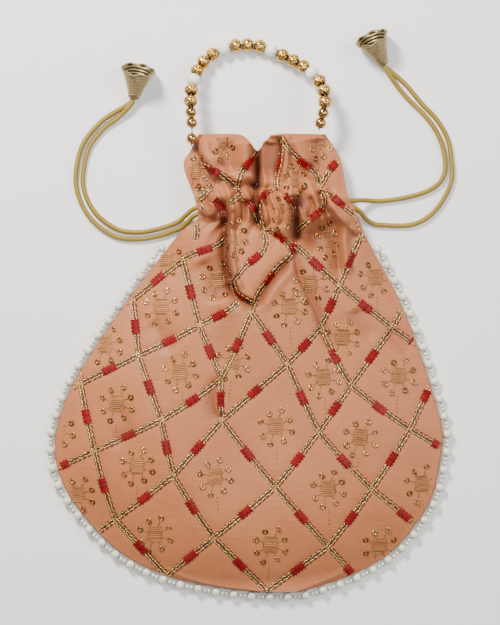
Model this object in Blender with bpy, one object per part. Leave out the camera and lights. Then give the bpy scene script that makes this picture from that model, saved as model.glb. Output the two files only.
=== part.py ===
"""Potli bag: a gathered silk drawstring pouch with a beaded handle, lying on its back.

Metres, +Z up, +Y from the bottom of the pouch to its handle. The origin is under the middle of
the bag and its handle, on the surface that it lies on. The drawstring ends lie on that surface.
"""
import math

import bmesh
import bpy
import numpy as np
from mathutils import Vector

MM = 0.001

# Cloth pouch, all in mm. Each edge is a list of (height along Y, place along X).
LEFT_EDGE = (
    (-151.0, 5.0), (-148.2, -19.8), (-142.5, -44.6), (-131.0, -68.5), (-114.1, -86.9),
    (-90.5, -103.4), (-69.6, -107.3), (-49.8, -102.9), (-27.2, -91.9), (11.8, -65.5),
    (45.9, -39.1), (54.7, -28.5), (65.2, -29.7), (83.9, -36.0), (92.1, -32.5), (101.5, -27.5),
)
RIGHT_EDGE = (
    (-151.0, 28.0), (-148.2, 38.5), (-141.1, 58.3), (-129.5, 78.1), (-114.1, 91.9),
    (-98.2, 101.2), (-75.6, 106.2), (-63.0, 107.0), (-49.8, 104.0), (-19.5, 94.6),
    (12.4, 82.0), (42.1, 66.0), (58.6, 58.9), (67.4, 54.5), (81.7, 51.7), (91.0, 49.0),
    (101.5, 42.0),
)
BOTTOM_Y = -151.0
WIDEST_Y = -69.0
MOUTH_Y = 101.5
NOTCH_X = 5.0          # the mouth dips between the two lobes of the ruffle
NOTCH_DEPTH = 10.0
NOTCH_WIDTH = 9.0
CLOTH = 0.8            # silk and its interlining
SEAM_GAP = 0.3         # between the front and the back panel
SEAM_Z_FLAT = 2.9      # height of the side seam where the bag lies flat
SEAM_Z_NECK = 9.0      # and where it is gathered
FRONT_RISE = 15.5      # how far the filled front stands over its seam
NECK_RISE = 8.6
ROUNDING = 80.0        # length over which the bottom fills out
PLEAT_COUNT = 5
PLEAT_HEIGHT = 1.2

# Casing: the channel between shell and lining that the two drawstrings run in.
CASING_Y = 61.5
CASING_HALF = 5.0
CASING_FADE = 5.5
CASING_OPEN = 2.4      # the side seams are left open here, by this much each way
CHANNEL = 4.0

# Lining pouch.
LINING = 0.6
LINING_INSET = 5.0
LINING_GAP = 0.5
LINING_BOTTOM = 8.0    # above the bottom of the shell
LINING_TOP = 3.0       # below the mouth

COLUMNS = 28

# Cords and strings.
CORD_R = 1.35
STRING_R = 0.55
CORD_STEP = 7.0
RUN_STEP = 4.0

# Beads: radius, half length, bore radius.
BIG_BEAD = (4.0, 3.55, 0.95)
SMALL_BEAD = (3.0, 3.0, 0.95)
BEAD_GAP = 0.6
HINGE_Y = 103.8
HINGE_Z = 15.5
LEFT_KNOT = (-31.3, HINGE_Y, HINGE_Z)
RIGHT_KNOT = (38.4, HINGE_Y, HINGE_Z)

# Pearl edging round the seam.
PEARL_R = 2.5
PEARL_THREAD_R = 0.5
PEARL_PITCH = 10.0
PEARL_OFFSET = 2.8
PEARL_TOP_Y = 43.0

# Bells on the drawstring ends.
BELL_MOUTH_R = 9.6
BELL_NECK_R = 3.0
BELL_WALL = 0.8

# Routes of the drawstring ends, each from inside the casing to its bell.
CORD_ROUTES = {
    "drawstring_left_upper": (
        (-21.2, 58.9, 14.2), (-24.6, 60.5, 12.1), (-27.9, 61.1, 10.1), (-31.3, 60.0, 8.0),
        (-34.6, 57.2, 4.8), (-38.2, 54.2, 2.5), (-42.8, 51.9, 1.6), (-50.0, 49.6, 1.5),
        (-60.8, 47.7, 1.5), (-72.6, 49.3, 1.5), (-83.2, 56.6, 1.5), (-89.6, 66.2, 1.5),
        (-92.0, 77.6, 1.5), (-88.8, 93.6, 1.5), (-81.0, 104.4, 1.5), (-73.6, 110.2, 1.9),
        (-67.4, 115.8, 3.5), (-64.2, 120.1, 4.5),
    ),
    "drawstring_left_lower": (
        (-21.2, 57.9, 7.2), (-24.7, 57.9, 8.0), (-28.2, 57.6, 8.3), (-31.2, 56.0, 7.2),
        (-33.8, 53.2, 4.8), (-37.4, 50.3, 2.4), (-42.6, 48.2, 1.6), (-50.2, 45.6, 1.5),
        (-61.2, 43.9, 1.5), (-74.0, 45.4, 1.5), (-86.0, 53.6, 1.5), (-93.2, 64.6, 1.5),
        (-96.0, 77.8, 1.5), (-92.4, 95.4, 1.5), (-83.4, 107.4, 1.5), (-75.2, 113.6, 1.5),
        (-68.2, 117.6, 1.5), (-64.3, 120.7, 1.5),
    ),
    "drawstring_right_upper": (
        (48.0, 65.0, 14.0), (51.3, 65.0, 12.0), (54.4, 65.0, 10.1), (58.2, 65.1, 8.4),
        (63.6, 65.3, 4.8), (70.6, 65.0, 1.9), (79.0, 65.6, 1.5), (89.8, 67.6, 1.5),
        (99.4, 70.8, 1.5), (106.0, 75.8, 1.5), (108.6, 83.4, 1.5), (107.0, 95.4, 1.5),
        (102.4, 105.4, 1.5), (96.2, 113.4, 1.5), (88.6, 120.8, 1.5), (82.6, 127.8, 2.0),
        (78.4, 133.4, 3.8), (74.9, 139.0, 4.7),
    ),
    "drawstring_right_lower": (
        (48.0, 64.2, 7.6), (51.4, 62.5, 8.6), (54.8, 61.7, 8.9), (58.4, 60.9, 8.6),
        (61.8, 58.5, 6.8), (64.3, 55.4, 4.2), (67.6, 53.1, 2.2), (72.4, 51.8, 1.5),
        (89.0, 51.7, 1.5), (99.8, 56.6, 1.5), (107.6, 65.8, 1.5), (112.2, 76.8, 1.5),
        (112.0, 88.0, 1.5), (109.8, 99.6, 1.5), (103.8, 110.2, 1.5), (95.0, 119.6, 1.5),
        (87.4, 128.8, 1.5), (80.6, 135.0, 1.5), (74.9, 139.3, 1.5),
    ),
}
BELLS = {
    "bell_left": ((-63.7, 122.2, 3.0), (-61.0, 137.6, 9.9)),
    "bell_right": ((74.0, 141.0, 3.0), (67.4, 155.0, 9.9)),
}

# The handle's string, from its left knot to its right one.
HANDLE_ROUTE = (
    LEFT_KNOT, (-31.6, 109.4, 16.6), (-32.0, 115.2, 17.6), (-32.1, 120.6, 16.9),
    (-31.7, 126.2, 14.2), (-30.6, 131.6, 10.6), (-28.4, 137.4, 7.0), (-24.8, 142.4, 4.8),
    (-18.6, 147.2, 4.2), (-11.1, 150.2, 4.2), (-3.0, 151.4, 4.2), (5.4, 150.8, 4.2),
    (13.0, 148.0, 4.2), (19.4, 145.0, 4.6), (25.4, 142.0, 5.8), (31.0, 138.6, 7.8),
    (35.8, 134.6, 10.6), (39.4, 130.2, 13.6), (41.4, 125.0, 16.4), (42.0, 119.6, 18.2),
    (41.2, 114.2, 18.2), (39.6, 108.8, 17.0), RIGHT_KNOT,
)
LEFT_SMALL_BEADS = 2
RIGHT_SMALL_BEADS = 2
BIG_BEAD_ROW = "GGWGGGWGGGWGGGWGGG"    # gold and white beads in their order from the left

COLOURS = {
    "silk": ((0.62, 0.33, 0.20), 0.55, 0.0),
    "lining": ((0.55, 0.36, 0.26), 0.80, 0.0),
    "cord": ((0.34, 0.27, 0.03), 0.40, 0.0),
    "gold": ((0.55, 0.36, 0.10), 0.30, 1.0),
    "brass": ((0.36, 0.29, 0.16), 0.42, 1.0),
    "pearl": ((0.80, 0.79, 0.72), 0.22, 0.0),
    "white": ((0.72, 0.73, 0.68), 0.45, 0.0),
}


# ---------------------------------------------------------------- small helpers

def material(name):
    """The named Principled material, made once."""
    found = bpy.data.materials.get(name)
    if found:
        return found
    colour, roughness, metallic = COLOURS[name]
    made = bpy.data.materials.new(name)
    made.use_nodes = True
    shader = made.node_tree.nodes["Principled BSDF"]
    shader.inputs["Base Color"].default_value = (*colour, 1.0)
    shader.inputs["Roughness"].default_value = roughness
    shader.inputs["Metallic"].default_value = metallic
    return made


def add_object(name, data, finish, parent=None):
    """Put data into the scene as one named object."""
    placed = bpy.data.objects.new(name, data)
    data.materials.append(material(finish))
    bpy.context.scene.collection.objects.link(placed)
    if parent:
        placed.parent = parent
        placed.matrix_parent_inverse = parent.matrix_world.inverted()
    return placed


def mesh_from(name, points, faces, finish, parent=None, sharp_angle=40.0):
    """A closed mesh from points in mm and its faces, with its faces turned outwards."""
    mesh = bpy.data.meshes.new(name)
    mesh.from_pydata([Vector(p) * MM for p in points], [], faces)
    shape = bmesh.new()
    shape.from_mesh(mesh)
    bmesh.ops.recalc_face_normals(shape, faces=shape.faces)
    shape.to_mesh(mesh)
    shape.free()
    mesh.shade_smooth()
    mesh.set_sharp_from_angle(angle=math.radians(sharp_angle))
    return add_object(name, mesh, finish, parent)


def fade(value, low, high):
    """0 below low, 1 above high and smooth between them."""
    t = min(1.0, max(0.0, (value - low) / (high - low)))
    return t * t * (3.0 - 2.0 * t)


def smooth_curve(route, per_span=12):
    """Points close together on a smooth curve through every point of the route."""
    ends = [route[0], *route, route[-1]]
    p = np.array(ends, dtype=float)
    dense = []
    for i in range(1, len(p) - 2):
        for t in np.linspace(0.0, 1.0, per_span, endpoint=False):
            a = 2.0 * p[i]
            b = (p[i + 1] - p[i - 1]) * t
            c = (2.0 * p[i - 1] - 5.0 * p[i] + 4.0 * p[i + 1] - p[i + 2]) * t ** 2
            d = (3.0 * p[i] - p[i - 1] - 3.0 * p[i + 1] + p[i + 2]) * t ** 3
            dense.append(0.5 * (a + b + c + d))
    dense.append(p[-2])
    return np.array(dense)


def lengths_along(points):
    """Distance along a run of points, from its start to each of them."""
    steps = np.linalg.norm(np.diff(points, axis=0), axis=1)
    return np.concatenate(([0.0], np.cumsum(steps)))


def points_at(points, distances):
    """The points that lie at the given distances along a run of points."""
    along = lengths_along(points)
    return np.stack([np.interp(distances, along, points[:, k]) for k in range(3)], axis=1)


def even_points(route, step):
    """Points about a step apart on the smooth curve through the route."""
    dense = smooth_curve(route)
    total = lengths_along(dense)[-1]
    return points_at(dense, np.linspace(0.0, total, max(3, round(total / step) + 1)))


# ---------------------------------------------------------------- the cloth's shape

LEFT_CURVE = smooth_curve([(x, y, 0.0) for y, x in LEFT_EDGE])
RIGHT_CURVE = smooth_curve([(x, y, 0.0) for y, x in RIGHT_EDGE])


def middle_and_half(y):
    """Middle and half width of the cloth at a height."""
    left = np.interp(y, LEFT_CURVE[:, 1], LEFT_CURVE[:, 0])
    right = np.interp(y, RIGHT_CURVE[:, 1], RIGHT_CURVE[:, 0])
    return (left + right) / 2.0, (right - left) / 2.0


def casing(y):
    """1 in the drawstring casing, 0 away from it."""
    return 1.0 - fade(abs(y - CASING_Y), CASING_HALF, CASING_HALF + CASING_FADE)


def neck(y):
    """0 in the flat body, 1 where the cloth is gathered."""
    return fade(y, 22.0, 54.0)


def seam_z(y):
    return SEAM_Z_FLAT + (SEAM_Z_NECK - SEAM_Z_FLAT) * neck(y)


def seam_open(y):
    """Half the opening between the two panels at their edge."""
    return SEAM_GAP / 2.0 + CASING_OPEN * casing(y)


def front_height(y):
    """Height of the front panel's inner face over its own edge, in the middle."""
    return FRONT_RISE + (NECK_RISE - FRONT_RISE) * neck(y)


def fill(y, bottom):
    """How far the bag has filled out above its bottom: 0 to 1."""
    t = min(1.0, max(0.0, (y - bottom) / ROUNDING))
    return 1.0 - (1.0 - t) ** 3


def front_arch(u):
    return 1.0 - abs(u) ** 2.5


def back_arch(u, y):
    """Like the front's arch, but with a wide flat middle to lie on."""
    power = 6.0 - 3.5 * neck(y)
    return min(1.0, 1.15 * (1.0 - abs(u) ** power))


def pleats(x, y):
    """The gathers' shallow waves, the same for every layer."""
    middle, half = middle_and_half(min(y, MOUTH_Y))
    u = (x - middle) / half
    wave = 1.0 + math.cos(math.pi * PLEAT_COUNT * u)
    return PLEAT_HEIGHT * neck(y) * wave * max(0.0, 1.0 - u ** 4)


def front_inner_z(x, y):
    """Inner face of the front panel."""
    middle, half = middle_and_half(y)
    rise = front_height(y) * fill(y, BOTTOM_Y) * front_arch((x - middle) / half)
    return seam_z(y) + seam_open(y) + rise + pleats(x, y)


def back_inner_z(x, y):
    """Inner face of the back panel, whose outer face lies on the surface in the middle."""
    middle, half = middle_and_half(y)
    edge = seam_z(y) - seam_open(y)
    sag = (edge - CLOTH) * min(1.0, 1.3 * fill(y, BOTTOM_Y)) * back_arch((x - middle) / half, y)
    return edge - sag + pleats(x, y)


def notch(x, y):
    """How far the cloth at this place is drawn down, between the ruffle's lobes."""
    share = fade(y, CASING_Y + 10.0, MOUTH_Y)
    return NOTCH_DEPTH * share * math.exp(-((x - NOTCH_X) / NOTCH_WIDTH) ** 2)


def row_heights(bottom, top):
    """Heights of the cloth's rows: close together at the bottom and at the casing."""
    curve = [WIDEST_Y - (WIDEST_Y - bottom) * math.cos(math.pi / 2.0 * i / 7) for i in range(7)]
    body = [WIDEST_Y, -40.0, -8.0, 20.0, 38.0]
    low, high = CASING_Y - CASING_HALF, CASING_Y + CASING_HALF
    gathered = [low - CASING_FADE, low, CASING_Y, high, high + CASING_FADE]
    ruffle = [82.0, 92.0, top]
    return curve + body + gathered + ruffle


# ---------------------------------------------------------------- cloth pieces

def panel(name, inner_z, wall):
    """A panel of the shell: its inner face, and its outer face a wall's thickness away."""
    rows = row_heights(BOTTOM_Y, MOUTH_Y)
    inner, outer = [], []
    for row in rows:
        middle, half = middle_and_half(row)
        for column in range(COLUMNS + 1):
            x = middle + half * (2.0 * column / COLUMNS - 1.0)
            y = row - notch(x, row)
            z = inner_z(x, row)
            inner.append((x, y, z))
            outer.append((x, y, z + wall))
    faces = []
    wide, count = COLUMNS + 1, len(inner)
    for r in range(len(rows) - 1):
        for c in range(COLUMNS):
            a = r * wide + c
            faces.append((a, a + 1, a + wide + 1, a + wide))
            faces.append((count + a, count + a + wide, count + a + wide + 1, count + a + 1))
    rim = [c for c in range(COLUMNS)]
    rim += [r * wide + COLUMNS for r in range(len(rows) - 1)]
    rim += [(len(rows) - 1) * wide + c for c in range(COLUMNS, 0, -1)]
    rim += [r * wide for r in range(len(rows) - 1, 0, -1)]
    for a, b in zip(rim, rim[1:] + rim[:1]):
        faces.append((a, count + a, count + b, b))
    return mesh_from(name, inner + outer, faces, "silk")


def lining_section(row, inset, wall, bottom):
    """A closed loop round the lining at one height, its wall moved in by the given amount."""
    middle, half = middle_and_half(row)
    half -= inset + 4.0 * casing(row)
    gap = LINING_GAP + (CHANNEL - LINING_GAP) * casing(row)
    seam, edge = seam_z(row), seam_open(row)
    filled = fill(row, bottom)
    up = (edge + front_height(row) - gap - wall) * filled
    down = (seam - CLOTH - gap - wall) * min(1.0, 1.3 * filled)
    half_columns = COLUMNS // 2
    section = []
    for i in range(2 * half_columns):
        angle = math.pi * i / half_columns
        u = -math.cos(angle)
        x = middle + half * u
        if i <= half_columns:
            z = seam - down * back_arch(u, row)
        else:
            z = seam + up * front_arch(u)
        section.append((x, row - notch(x, row), z + pleats(x, row)))
    return section


def lining():
    """The inner pouch: one closed wall with an open mouth."""
    bottom = BOTTOM_Y + LINING_BOTTOM
    rows = row_heights(bottom + 3.0, MOUTH_Y - LINING_TOP)
    loops = [lining_section(y, LINING_INSET, 0.0, bottom) for y in rows]
    inner_rows = [max(y, bottom + 9.0) for y in rows if y > bottom + 6.0]
    inner = [lining_section(y, LINING_INSET + 2.0, LINING, bottom + 6.0) for y in inner_rows]
    loops += inner[::-1]
    return tube_from_loops("lining_pouch", loops, "lining")


def tube_from_loops(name, loops, finish, parent=None, sharp_angle=40.0):
    """A closed body from a run of equal loops, with a cap over the first and the last."""
    size = len(loops[0])
    points = [p for loop in loops for p in loop]
    faces = [tuple(range(size))]
    faces.append(tuple(range((len(loops) - 1) * size, len(loops) * size)))
    for r in range(len(loops) - 1):
        for i in range(size):
            j = (i + 1) % size
            faces.append((r * size + i, r * size + j, (r + 1) * size + j, (r + 1) * size + i))
    return mesh_from(name, points, faces, finish, parent, sharp_angle)


# ---------------------------------------------------------------- cords

def cord(name, points, radius, finish, parent=None):
    """A round cord along points in mm, with flat ends."""
    data = bpy.data.curves.new(name, "CURVE")
    data.dimensions = "3D"
    data.bevel_depth = radius * MM
    data.bevel_resolution = 2
    data.use_fill_caps = True
    line = data.splines.new("POLY")
    line.points.add(len(points) - 1)
    for spot, place in zip(line.points, points):
        spot.co = (*(Vector(place) * MM), 1.0)
    return add_object(name, data, finish, parent)


def casing_run(name, row, exit_side):
    """The hidden part of a drawstring: round the neck inside its casing, open at its exit."""
    middle, half = middle_and_half(row)
    reach = half - 6.0
    offset = CHANNEL / 2.0
    x_line = [middle - exit_side * (u * reach) for u in np.linspace(-0.93, 1.0, 20)]
    over = [(x, row, front_inner_z(x, row) - offset) for x in x_line]
    under = [(x, row, back_inner_z(x, row) + offset) for x in x_line[::-1]]
    turn_x = middle - exit_side * (reach + 2.6)
    turn = (turn_x, row, (over[-1][2] + under[0][2]) / 2.0)
    return cord(name, even_points(over + [turn] + under, RUN_STEP), CORD_R, "cord")


def drawstrings():
    for name, route in CORD_ROUTES.items():
        cord(name, even_points(route, CORD_STEP), CORD_R, "cord")
    casing_run("casing_run_left", 58.0, -1.0)
    casing_run("casing_run_right", 65.0, 1.0)


# ---------------------------------------------------------------- beads and bells

def ring_loops(start, end, profile, sides):
    """Loops of a turned piece between two points: profile gives (share of length, radius)."""
    start, end = Vector(start), Vector(end)
    axis = (end - start).normalized()
    across = axis.cross(Vector((0.0, 0.0, 1.0))).normalized()
    up = across.cross(axis)
    loops = []
    for share, radius in profile:
        centre = start.lerp(end, share)
        loops.append([
            centre + radius * (across * math.cos(math.tau * i / sides)
                               + up * math.sin(math.tau * i / sides))
            for i in range(sides)
        ])
    return loops


def ring_body(name, loops, finish, parent=None):
    """A turned piece with a bore: the last loop joins the first."""
    size = len(loops[0])
    points = [p for loop in loops for p in loop]
    faces = []
    for r in range(len(loops)):
        s = (r + 1) % len(loops)
        for i in range(size):
            j = (i + 1) % size
            faces.append((r * size + i, r * size + j, s * size + j, s * size + i))
    return mesh_from(name, points, faces, finish, parent)


def bead(name, start, end, kind, finish, parent):
    """A bored bead that fills the string from start to end."""
    radius, _, bore = kind
    profile = (
        (0.0, bore), (0.0, 0.38 * radius), (0.18, 0.78 * radius), (0.5, radius),
        (0.82, 0.78 * radius), (1.0, 0.38 * radius), (1.0, bore),
    )
    return ring_body(name, ring_loops(start, end, profile, 8), finish, parent)


def handle():
    """The beaded handle, which swings about the line through its two knots."""
    pivot = bpy.data.objects.new("handle_pivot", None)
    pivot.location = Vector(LEFT_KNOT) * MM
    bpy.context.scene.collection.objects.link(pivot)
    bpy.context.view_layer.update()
    route = smooth_curve(HANDLE_ROUTE)
    total = lengths_along(route)[-1]
    row = "s" * LEFT_SMALL_BEADS + BIG_BEAD_ROW + "s" * RIGHT_SMALL_BEADS
    kinds = [SMALL_BEAD if mark == "s" else BIG_BEAD for mark in row]
    lead = 1.0
    used = sum(2.0 * kind[1] + BEAD_GAP for kind in kinds)
    stretch = (total - 2.0 * lead) / used
    marks = lead + np.concatenate(([0.0], np.cumsum([
        (2.0 * kind[1] + BEAD_GAP) * stretch for kind in kinds])))
    joints = [Vector(p) for p in points_at(route, marks)]
    line = [Vector(LEFT_KNOT), *joints, Vector(RIGHT_KNOT)]
    cord("handle_string", line, STRING_R, "gold", pivot)
    for index, (mark, kind) in enumerate(zip(row, kinds)):
        start, end = joints[index], joints[index + 1]
        trim = 0.5 * BEAD_GAP / (end - start).length
        finish = "white" if mark == "W" else "gold"
        label = {"s": "small_bead", "G": "gold_bead", "W": "white_bead"}[mark]
        name = f"{label}_{index + 1:02d}"
        bead(name, start.lerp(end, trim), end.lerp(start, trim), kind, finish, pivot)


def sewn_bead():
    """The bead below the left knot, sewn to the ruffle's edge with its own thread."""
    low, high = Vector((-31.6, 95.0, 12.9)), Vector((-31.3, 103.0, 15.2))
    cord("handle_tail", [low, low.lerp(high, 0.2), low.lerp(high, 0.8), high], STRING_R, "gold")
    bead("sewn_bead", low.lerp(high, 0.15), low.lerp(high, 0.85), SMALL_BEAD, "gold", None)


def bell(name, neck_end, mouth):
    """A flared horn with a closed neck and an open, hollow mouth."""
    outer = (
        (0.0, BELL_NECK_R), (0.15, BELL_NECK_R), (0.5, 0.5 * BELL_MOUTH_R),
        (0.8, 0.78 * BELL_MOUTH_R), (1.0, BELL_MOUTH_R),
    )
    inner = tuple((share, radius - BELL_WALL) for share, radius in outer[:1:-1])
    inner += ((0.2, BELL_NECK_R - BELL_WALL),)
    start, end = Vector(neck_end), Vector(mouth)
    tube_from_loops(name, ring_loops(start, end, outer + inner, 14), "brass", None, 60.0)


# ---------------------------------------------------------------- pearl edging

def seam_line():
    """The line that the pearls' centres follow, just outside the cloth's edge."""
    left = [(x, y) for x, y, _ in LEFT_CURVE if y < PEARL_TOP_Y][::-1]
    right = [(x, y) for x, y, _ in RIGHT_CURVE if y < PEARL_TOP_Y]
    edge = np.array(left + right)
    even = points_at(np.column_stack([edge, np.zeros(len(edge))]), np.linspace(0.0, 600.0, 301))
    even = even[np.concatenate(([True], np.linalg.norm(np.diff(even, axis=0), axis=1) > 0.5))]
    along = np.gradient(even, axis=0)
    along /= np.linalg.norm(along, axis=1)[:, None]
    line = even.copy()
    line[:, 0] += PEARL_OFFSET * along[:, 1]
    line[:, 1] -= PEARL_OFFSET * along[:, 0]
    line[:, 2] = [max(PEARL_R + 0.2, seam_z(y)) for y in line[:, 1]]
    return line


def pearl_edging():
    """One string of pearls on its thread, as a tube that swells at each pearl."""
    line = seam_line()
    total = lengths_along(line)[-1]
    count = int((total - 2.0 * PEARL_R) // PEARL_PITCH) + 1
    first = (total - (count - 1) * PEARL_PITCH) / 2.0
    marks, radii = [], []
    for i in range(count):
        for share, radius in ((-1.0, PEARL_THREAD_R), (-0.5, 0.88 * PEARL_R),
                              (0.5, 0.88 * PEARL_R), (1.0, PEARL_THREAD_R)):
            marks.append(first + i * PEARL_PITCH + share * PEARL_R)
            radii.append(radius)
    centres = points_at(line, marks)
    ahead = points_at(line, np.array(marks) + 1.0) - points_at(line, np.array(marks) - 1.0)
    loops = []
    for centre, way, radius in zip(centres, ahead, radii):
        axis = Vector(way).normalized()
        out = axis.cross(Vector((0.0, 0.0, 1.0))).normalized()
        up = out.cross(axis)
        loops.append([
            Vector(centre) + radius * (out * math.cos(math.tau * i / 6)
                                       + up * math.sin(math.tau * i / 6))
            for i in range(6)
        ])
    tube_from_loops("pearl_edging", loops, "pearl")


def build():
    for item in list(bpy.data.objects):
        bpy.data.objects.remove(item, do_unlink=True)
    panel("front_panel", front_inner_z, CLOTH)
    panel("back_panel", back_inner_z, -CLOTH)
    lining()
    drawstrings()
    handle()
    sewn_bead()
    for name, (neck_end, mouth) in BELLS.items():
        bell(name, neck_end, mouth)
    pearl_edging()


build()
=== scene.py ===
import math

import bmesh
import bpy
import numpy as np
from mathutils import Matrix, Vector


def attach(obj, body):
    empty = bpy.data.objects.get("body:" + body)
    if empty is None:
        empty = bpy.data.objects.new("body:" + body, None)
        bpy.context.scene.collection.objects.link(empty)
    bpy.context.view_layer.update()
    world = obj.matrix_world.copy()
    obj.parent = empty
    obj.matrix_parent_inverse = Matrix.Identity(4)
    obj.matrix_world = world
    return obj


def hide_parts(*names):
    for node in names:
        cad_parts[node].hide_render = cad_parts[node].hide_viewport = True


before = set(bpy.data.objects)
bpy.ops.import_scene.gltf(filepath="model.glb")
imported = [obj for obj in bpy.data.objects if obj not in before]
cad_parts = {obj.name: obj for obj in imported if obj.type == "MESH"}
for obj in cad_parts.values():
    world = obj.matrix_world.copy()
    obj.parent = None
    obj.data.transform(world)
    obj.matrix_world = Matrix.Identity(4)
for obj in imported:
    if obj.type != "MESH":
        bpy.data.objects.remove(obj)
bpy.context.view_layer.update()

# Everything below is laid out in mm and becomes metres when its mesh is made.
MM = 0.001
CORD_R = 1.35
STRING_R = 0.55
CLOTH = 0.8
CASING_Y = 61.5
MOUTH_Y = 101.5
BOTTOM_Y = -151.0
WIDEST_Y = -69.0

# ---------------------------------------------------------------- camera

CAMERA_HEIGHT = 2.0
VIEW_WIDTH = 0.275
CLOTH_LEVEL = 0.014      # the height at which the view is VIEW_WIDTH wide

bpy.ops.object.camera_add(location=(0.00055, 0.0033, CAMERA_HEIGHT + CLOTH_LEVEL),
                          rotation=(0.0, 0.0, 0.0))
camera = bpy.context.object
camera.name = "studio_camera"
camera.data.sensor_fit = "HORIZONTAL"
camera.data.sensor_width = 36.0
camera.data.lens = 36.0 * CAMERA_HEIGHT / VIEW_WIDTH
camera.data.clip_end = 20.0
bpy.context.scene.camera = camera


# ---------------------------------------------------------------- lines and places

def smooth_curve(route, per_span=12):
    """Points close together on a smooth curve through every point of the route."""
    p = np.array([route[0], *route, route[-1]], dtype=float)
    dense = []
    for i in range(1, len(p) - 2):
        for t in np.linspace(0.0, 1.0, per_span, endpoint=False):
            b = (p[i + 1] - p[i - 1]) * t
            c = (2.0 * p[i - 1] - 5.0 * p[i] + 4.0 * p[i + 1] - p[i + 2]) * t ** 2
            d = (3.0 * p[i] - p[i - 1] - 3.0 * p[i + 1] + p[i + 2]) * t ** 3
            dense.append(0.5 * (2.0 * p[i] + b + c + d))
    dense.append(p[-2])
    return np.array(dense)


def lengths_along(points):
    steps = np.linalg.norm(np.diff(points, axis=0), axis=1)
    return np.concatenate(([0.0], np.cumsum(steps)))


def points_at(points, distances):
    along = lengths_along(points)
    columns = [np.interp(distances, along, points[:, k]) for k in range(points.shape[1])]
    return np.stack(columns, axis=1)


def even_points(route, step):
    """Points about a step apart on the smooth curve through the route."""
    dense = smooth_curve(route)
    total = lengths_along(dense)[-1]
    return points_at(dense, np.linspace(0.0, total, max(3, round(total / step) + 1)))


def fade(value, low, high):
    t = np.clip((value - low) / (high - low), 0.0, 1.0)
    return t * t * (3.0 - 2.0 * t)


# ---------------------------------------------------------------- meshes

def add_piece(name, mesh, finish, body="bag"):
    piece = bpy.data.objects.new(name, mesh)
    bpy.context.scene.collection.objects.link(piece)
    mesh.materials.clear()
    mesh.materials.append(finish)
    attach(piece, body)
    return piece


def mesh_of(name, points, faces, smooth=True):
    """A mesh from points in mm."""
    mesh = bpy.data.meshes.new(name)
    mesh.from_pydata((np.asarray(points, dtype=float) * MM).tolist(), [], faces)
    if smooth:
        mesh.shade_smooth()
    return mesh


def tube(name, points, radius, sides, finish, body="bag"):
    """A round cord with closed, rounded ends. Its UV map is in mm: along it, and round it."""
    points = np.asarray(points, dtype=float)
    way = np.gradient(points, axis=0)
    way /= np.linalg.norm(way, axis=1)[:, None]
    along = lengths_along(points)
    centres = [points[0] - way[0] * radius * 0.5, *points, points[-1] + way[-1] * radius * 0.5]
    widths = [0.55 * radius, *([radius] * len(points)), 0.55 * radius]
    ways = [way[0], *way, way[-1]]
    marks = [0.0, *along, along[-1]]
    side = np.cross(ways[0], (0.0, 0.0, 1.0))
    rings = []
    for centre, width, heading in zip(centres, widths, ways):
        side = side - heading * np.dot(side, heading)
        side /= np.linalg.norm(side)
        up = np.cross(side, heading)
        turn = np.linspace(0.0, math.tau, sides, endpoint=False)[:, None]
        rings.append(centre + width * (side * np.cos(turn) + up * np.sin(turn)))
    faces, uv = [], []
    for r in range(len(rings) - 1):
        for i in range(sides):
            j = (i + 1) % sides
            a, b = r * sides, (r + 1) * sides
            faces.append((a + i, b + i, b + j, a + j))
            low, high = i / sides, (i + 1) / sides
            uv += [(marks[r], low), (marks[r + 1], low), (marks[r + 1], high), (marks[r], high)]
    last = (len(rings) - 1) * sides
    faces.append(tuple(range(sides)))
    faces.append(tuple(last + i for i in range(sides))[::-1])
    uv += [(0.0, 0.0)] * sides + [(along[-1], 0.0)] * sides
    mesh = mesh_of(name, np.concatenate(rings), faces)
    mesh.uv_layers.new(name="laid").data.foreach_set("uv", np.ravel(uv))
    return face_outwards(add_piece(name, mesh, finish, body))


def face_outwards(piece):
    shape = bmesh.new()
    shape.from_mesh(piece.data)
    bmesh.ops.recalc_face_normals(shape, faces=shape.faces)
    shape.to_mesh(piece.data)
    shape.free()
    return piece


def copies(name, master, frames, tones, finish, body="bag"):
    """One piece made of many copies of a small modelled shape.

    Each frame is its three axes, as columns, and its place, in mm. Each copy carries its own
    tone, from 0 to 1, which its material may read.
    """
    source = master.data
    count = len(source.vertices)
    points = np.empty(count * 3)
    source.vertices.foreach_get("co", points)
    points = points.reshape(count, 3)
    loops = np.empty(len(source.loops), dtype=np.int64)
    source.loops.foreach_get("vertex_index", loops)
    totals = np.empty(len(source.polygons), dtype=np.int64)
    source.polygons.foreach_get("loop_total", totals)
    frames = np.asarray(frames, dtype=float)
    amount = len(frames)
    placed = np.einsum("nij,vj->nvi", frames[:, :, :3], points) + frames[:, None, :, 3]
    every_loop = (loops[None, :] + np.arange(amount)[:, None] * count).ravel()
    every_total = np.tile(totals, amount)
    starts = np.concatenate(([0], np.cumsum(every_total)[:-1]))
    mesh = bpy.data.meshes.new(name)
    mesh.vertices.add(amount * count)
    mesh.vertices.foreach_set("co", (placed * MM).ravel())
    mesh.loops.add(len(every_loop))
    mesh.loops.foreach_set("vertex_index", every_loop.astype(np.int32))
    mesh.polygons.add(len(every_total))
    mesh.polygons.foreach_set("loop_start", starts.astype(np.int32))
    mesh.polygons.foreach_set("loop_total", every_total.astype(np.int32))
    mesh.update(calc_edges=True)
    tone = mesh.attributes.new("tone", "FLOAT", "POINT")
    tone.data.foreach_set("value", np.repeat(np.asarray(tones, dtype=float), count))
    mesh.shade_smooth()
    return add_piece(name, mesh, finish, body)


# ---------------------------------------------------------------- materials

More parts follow.
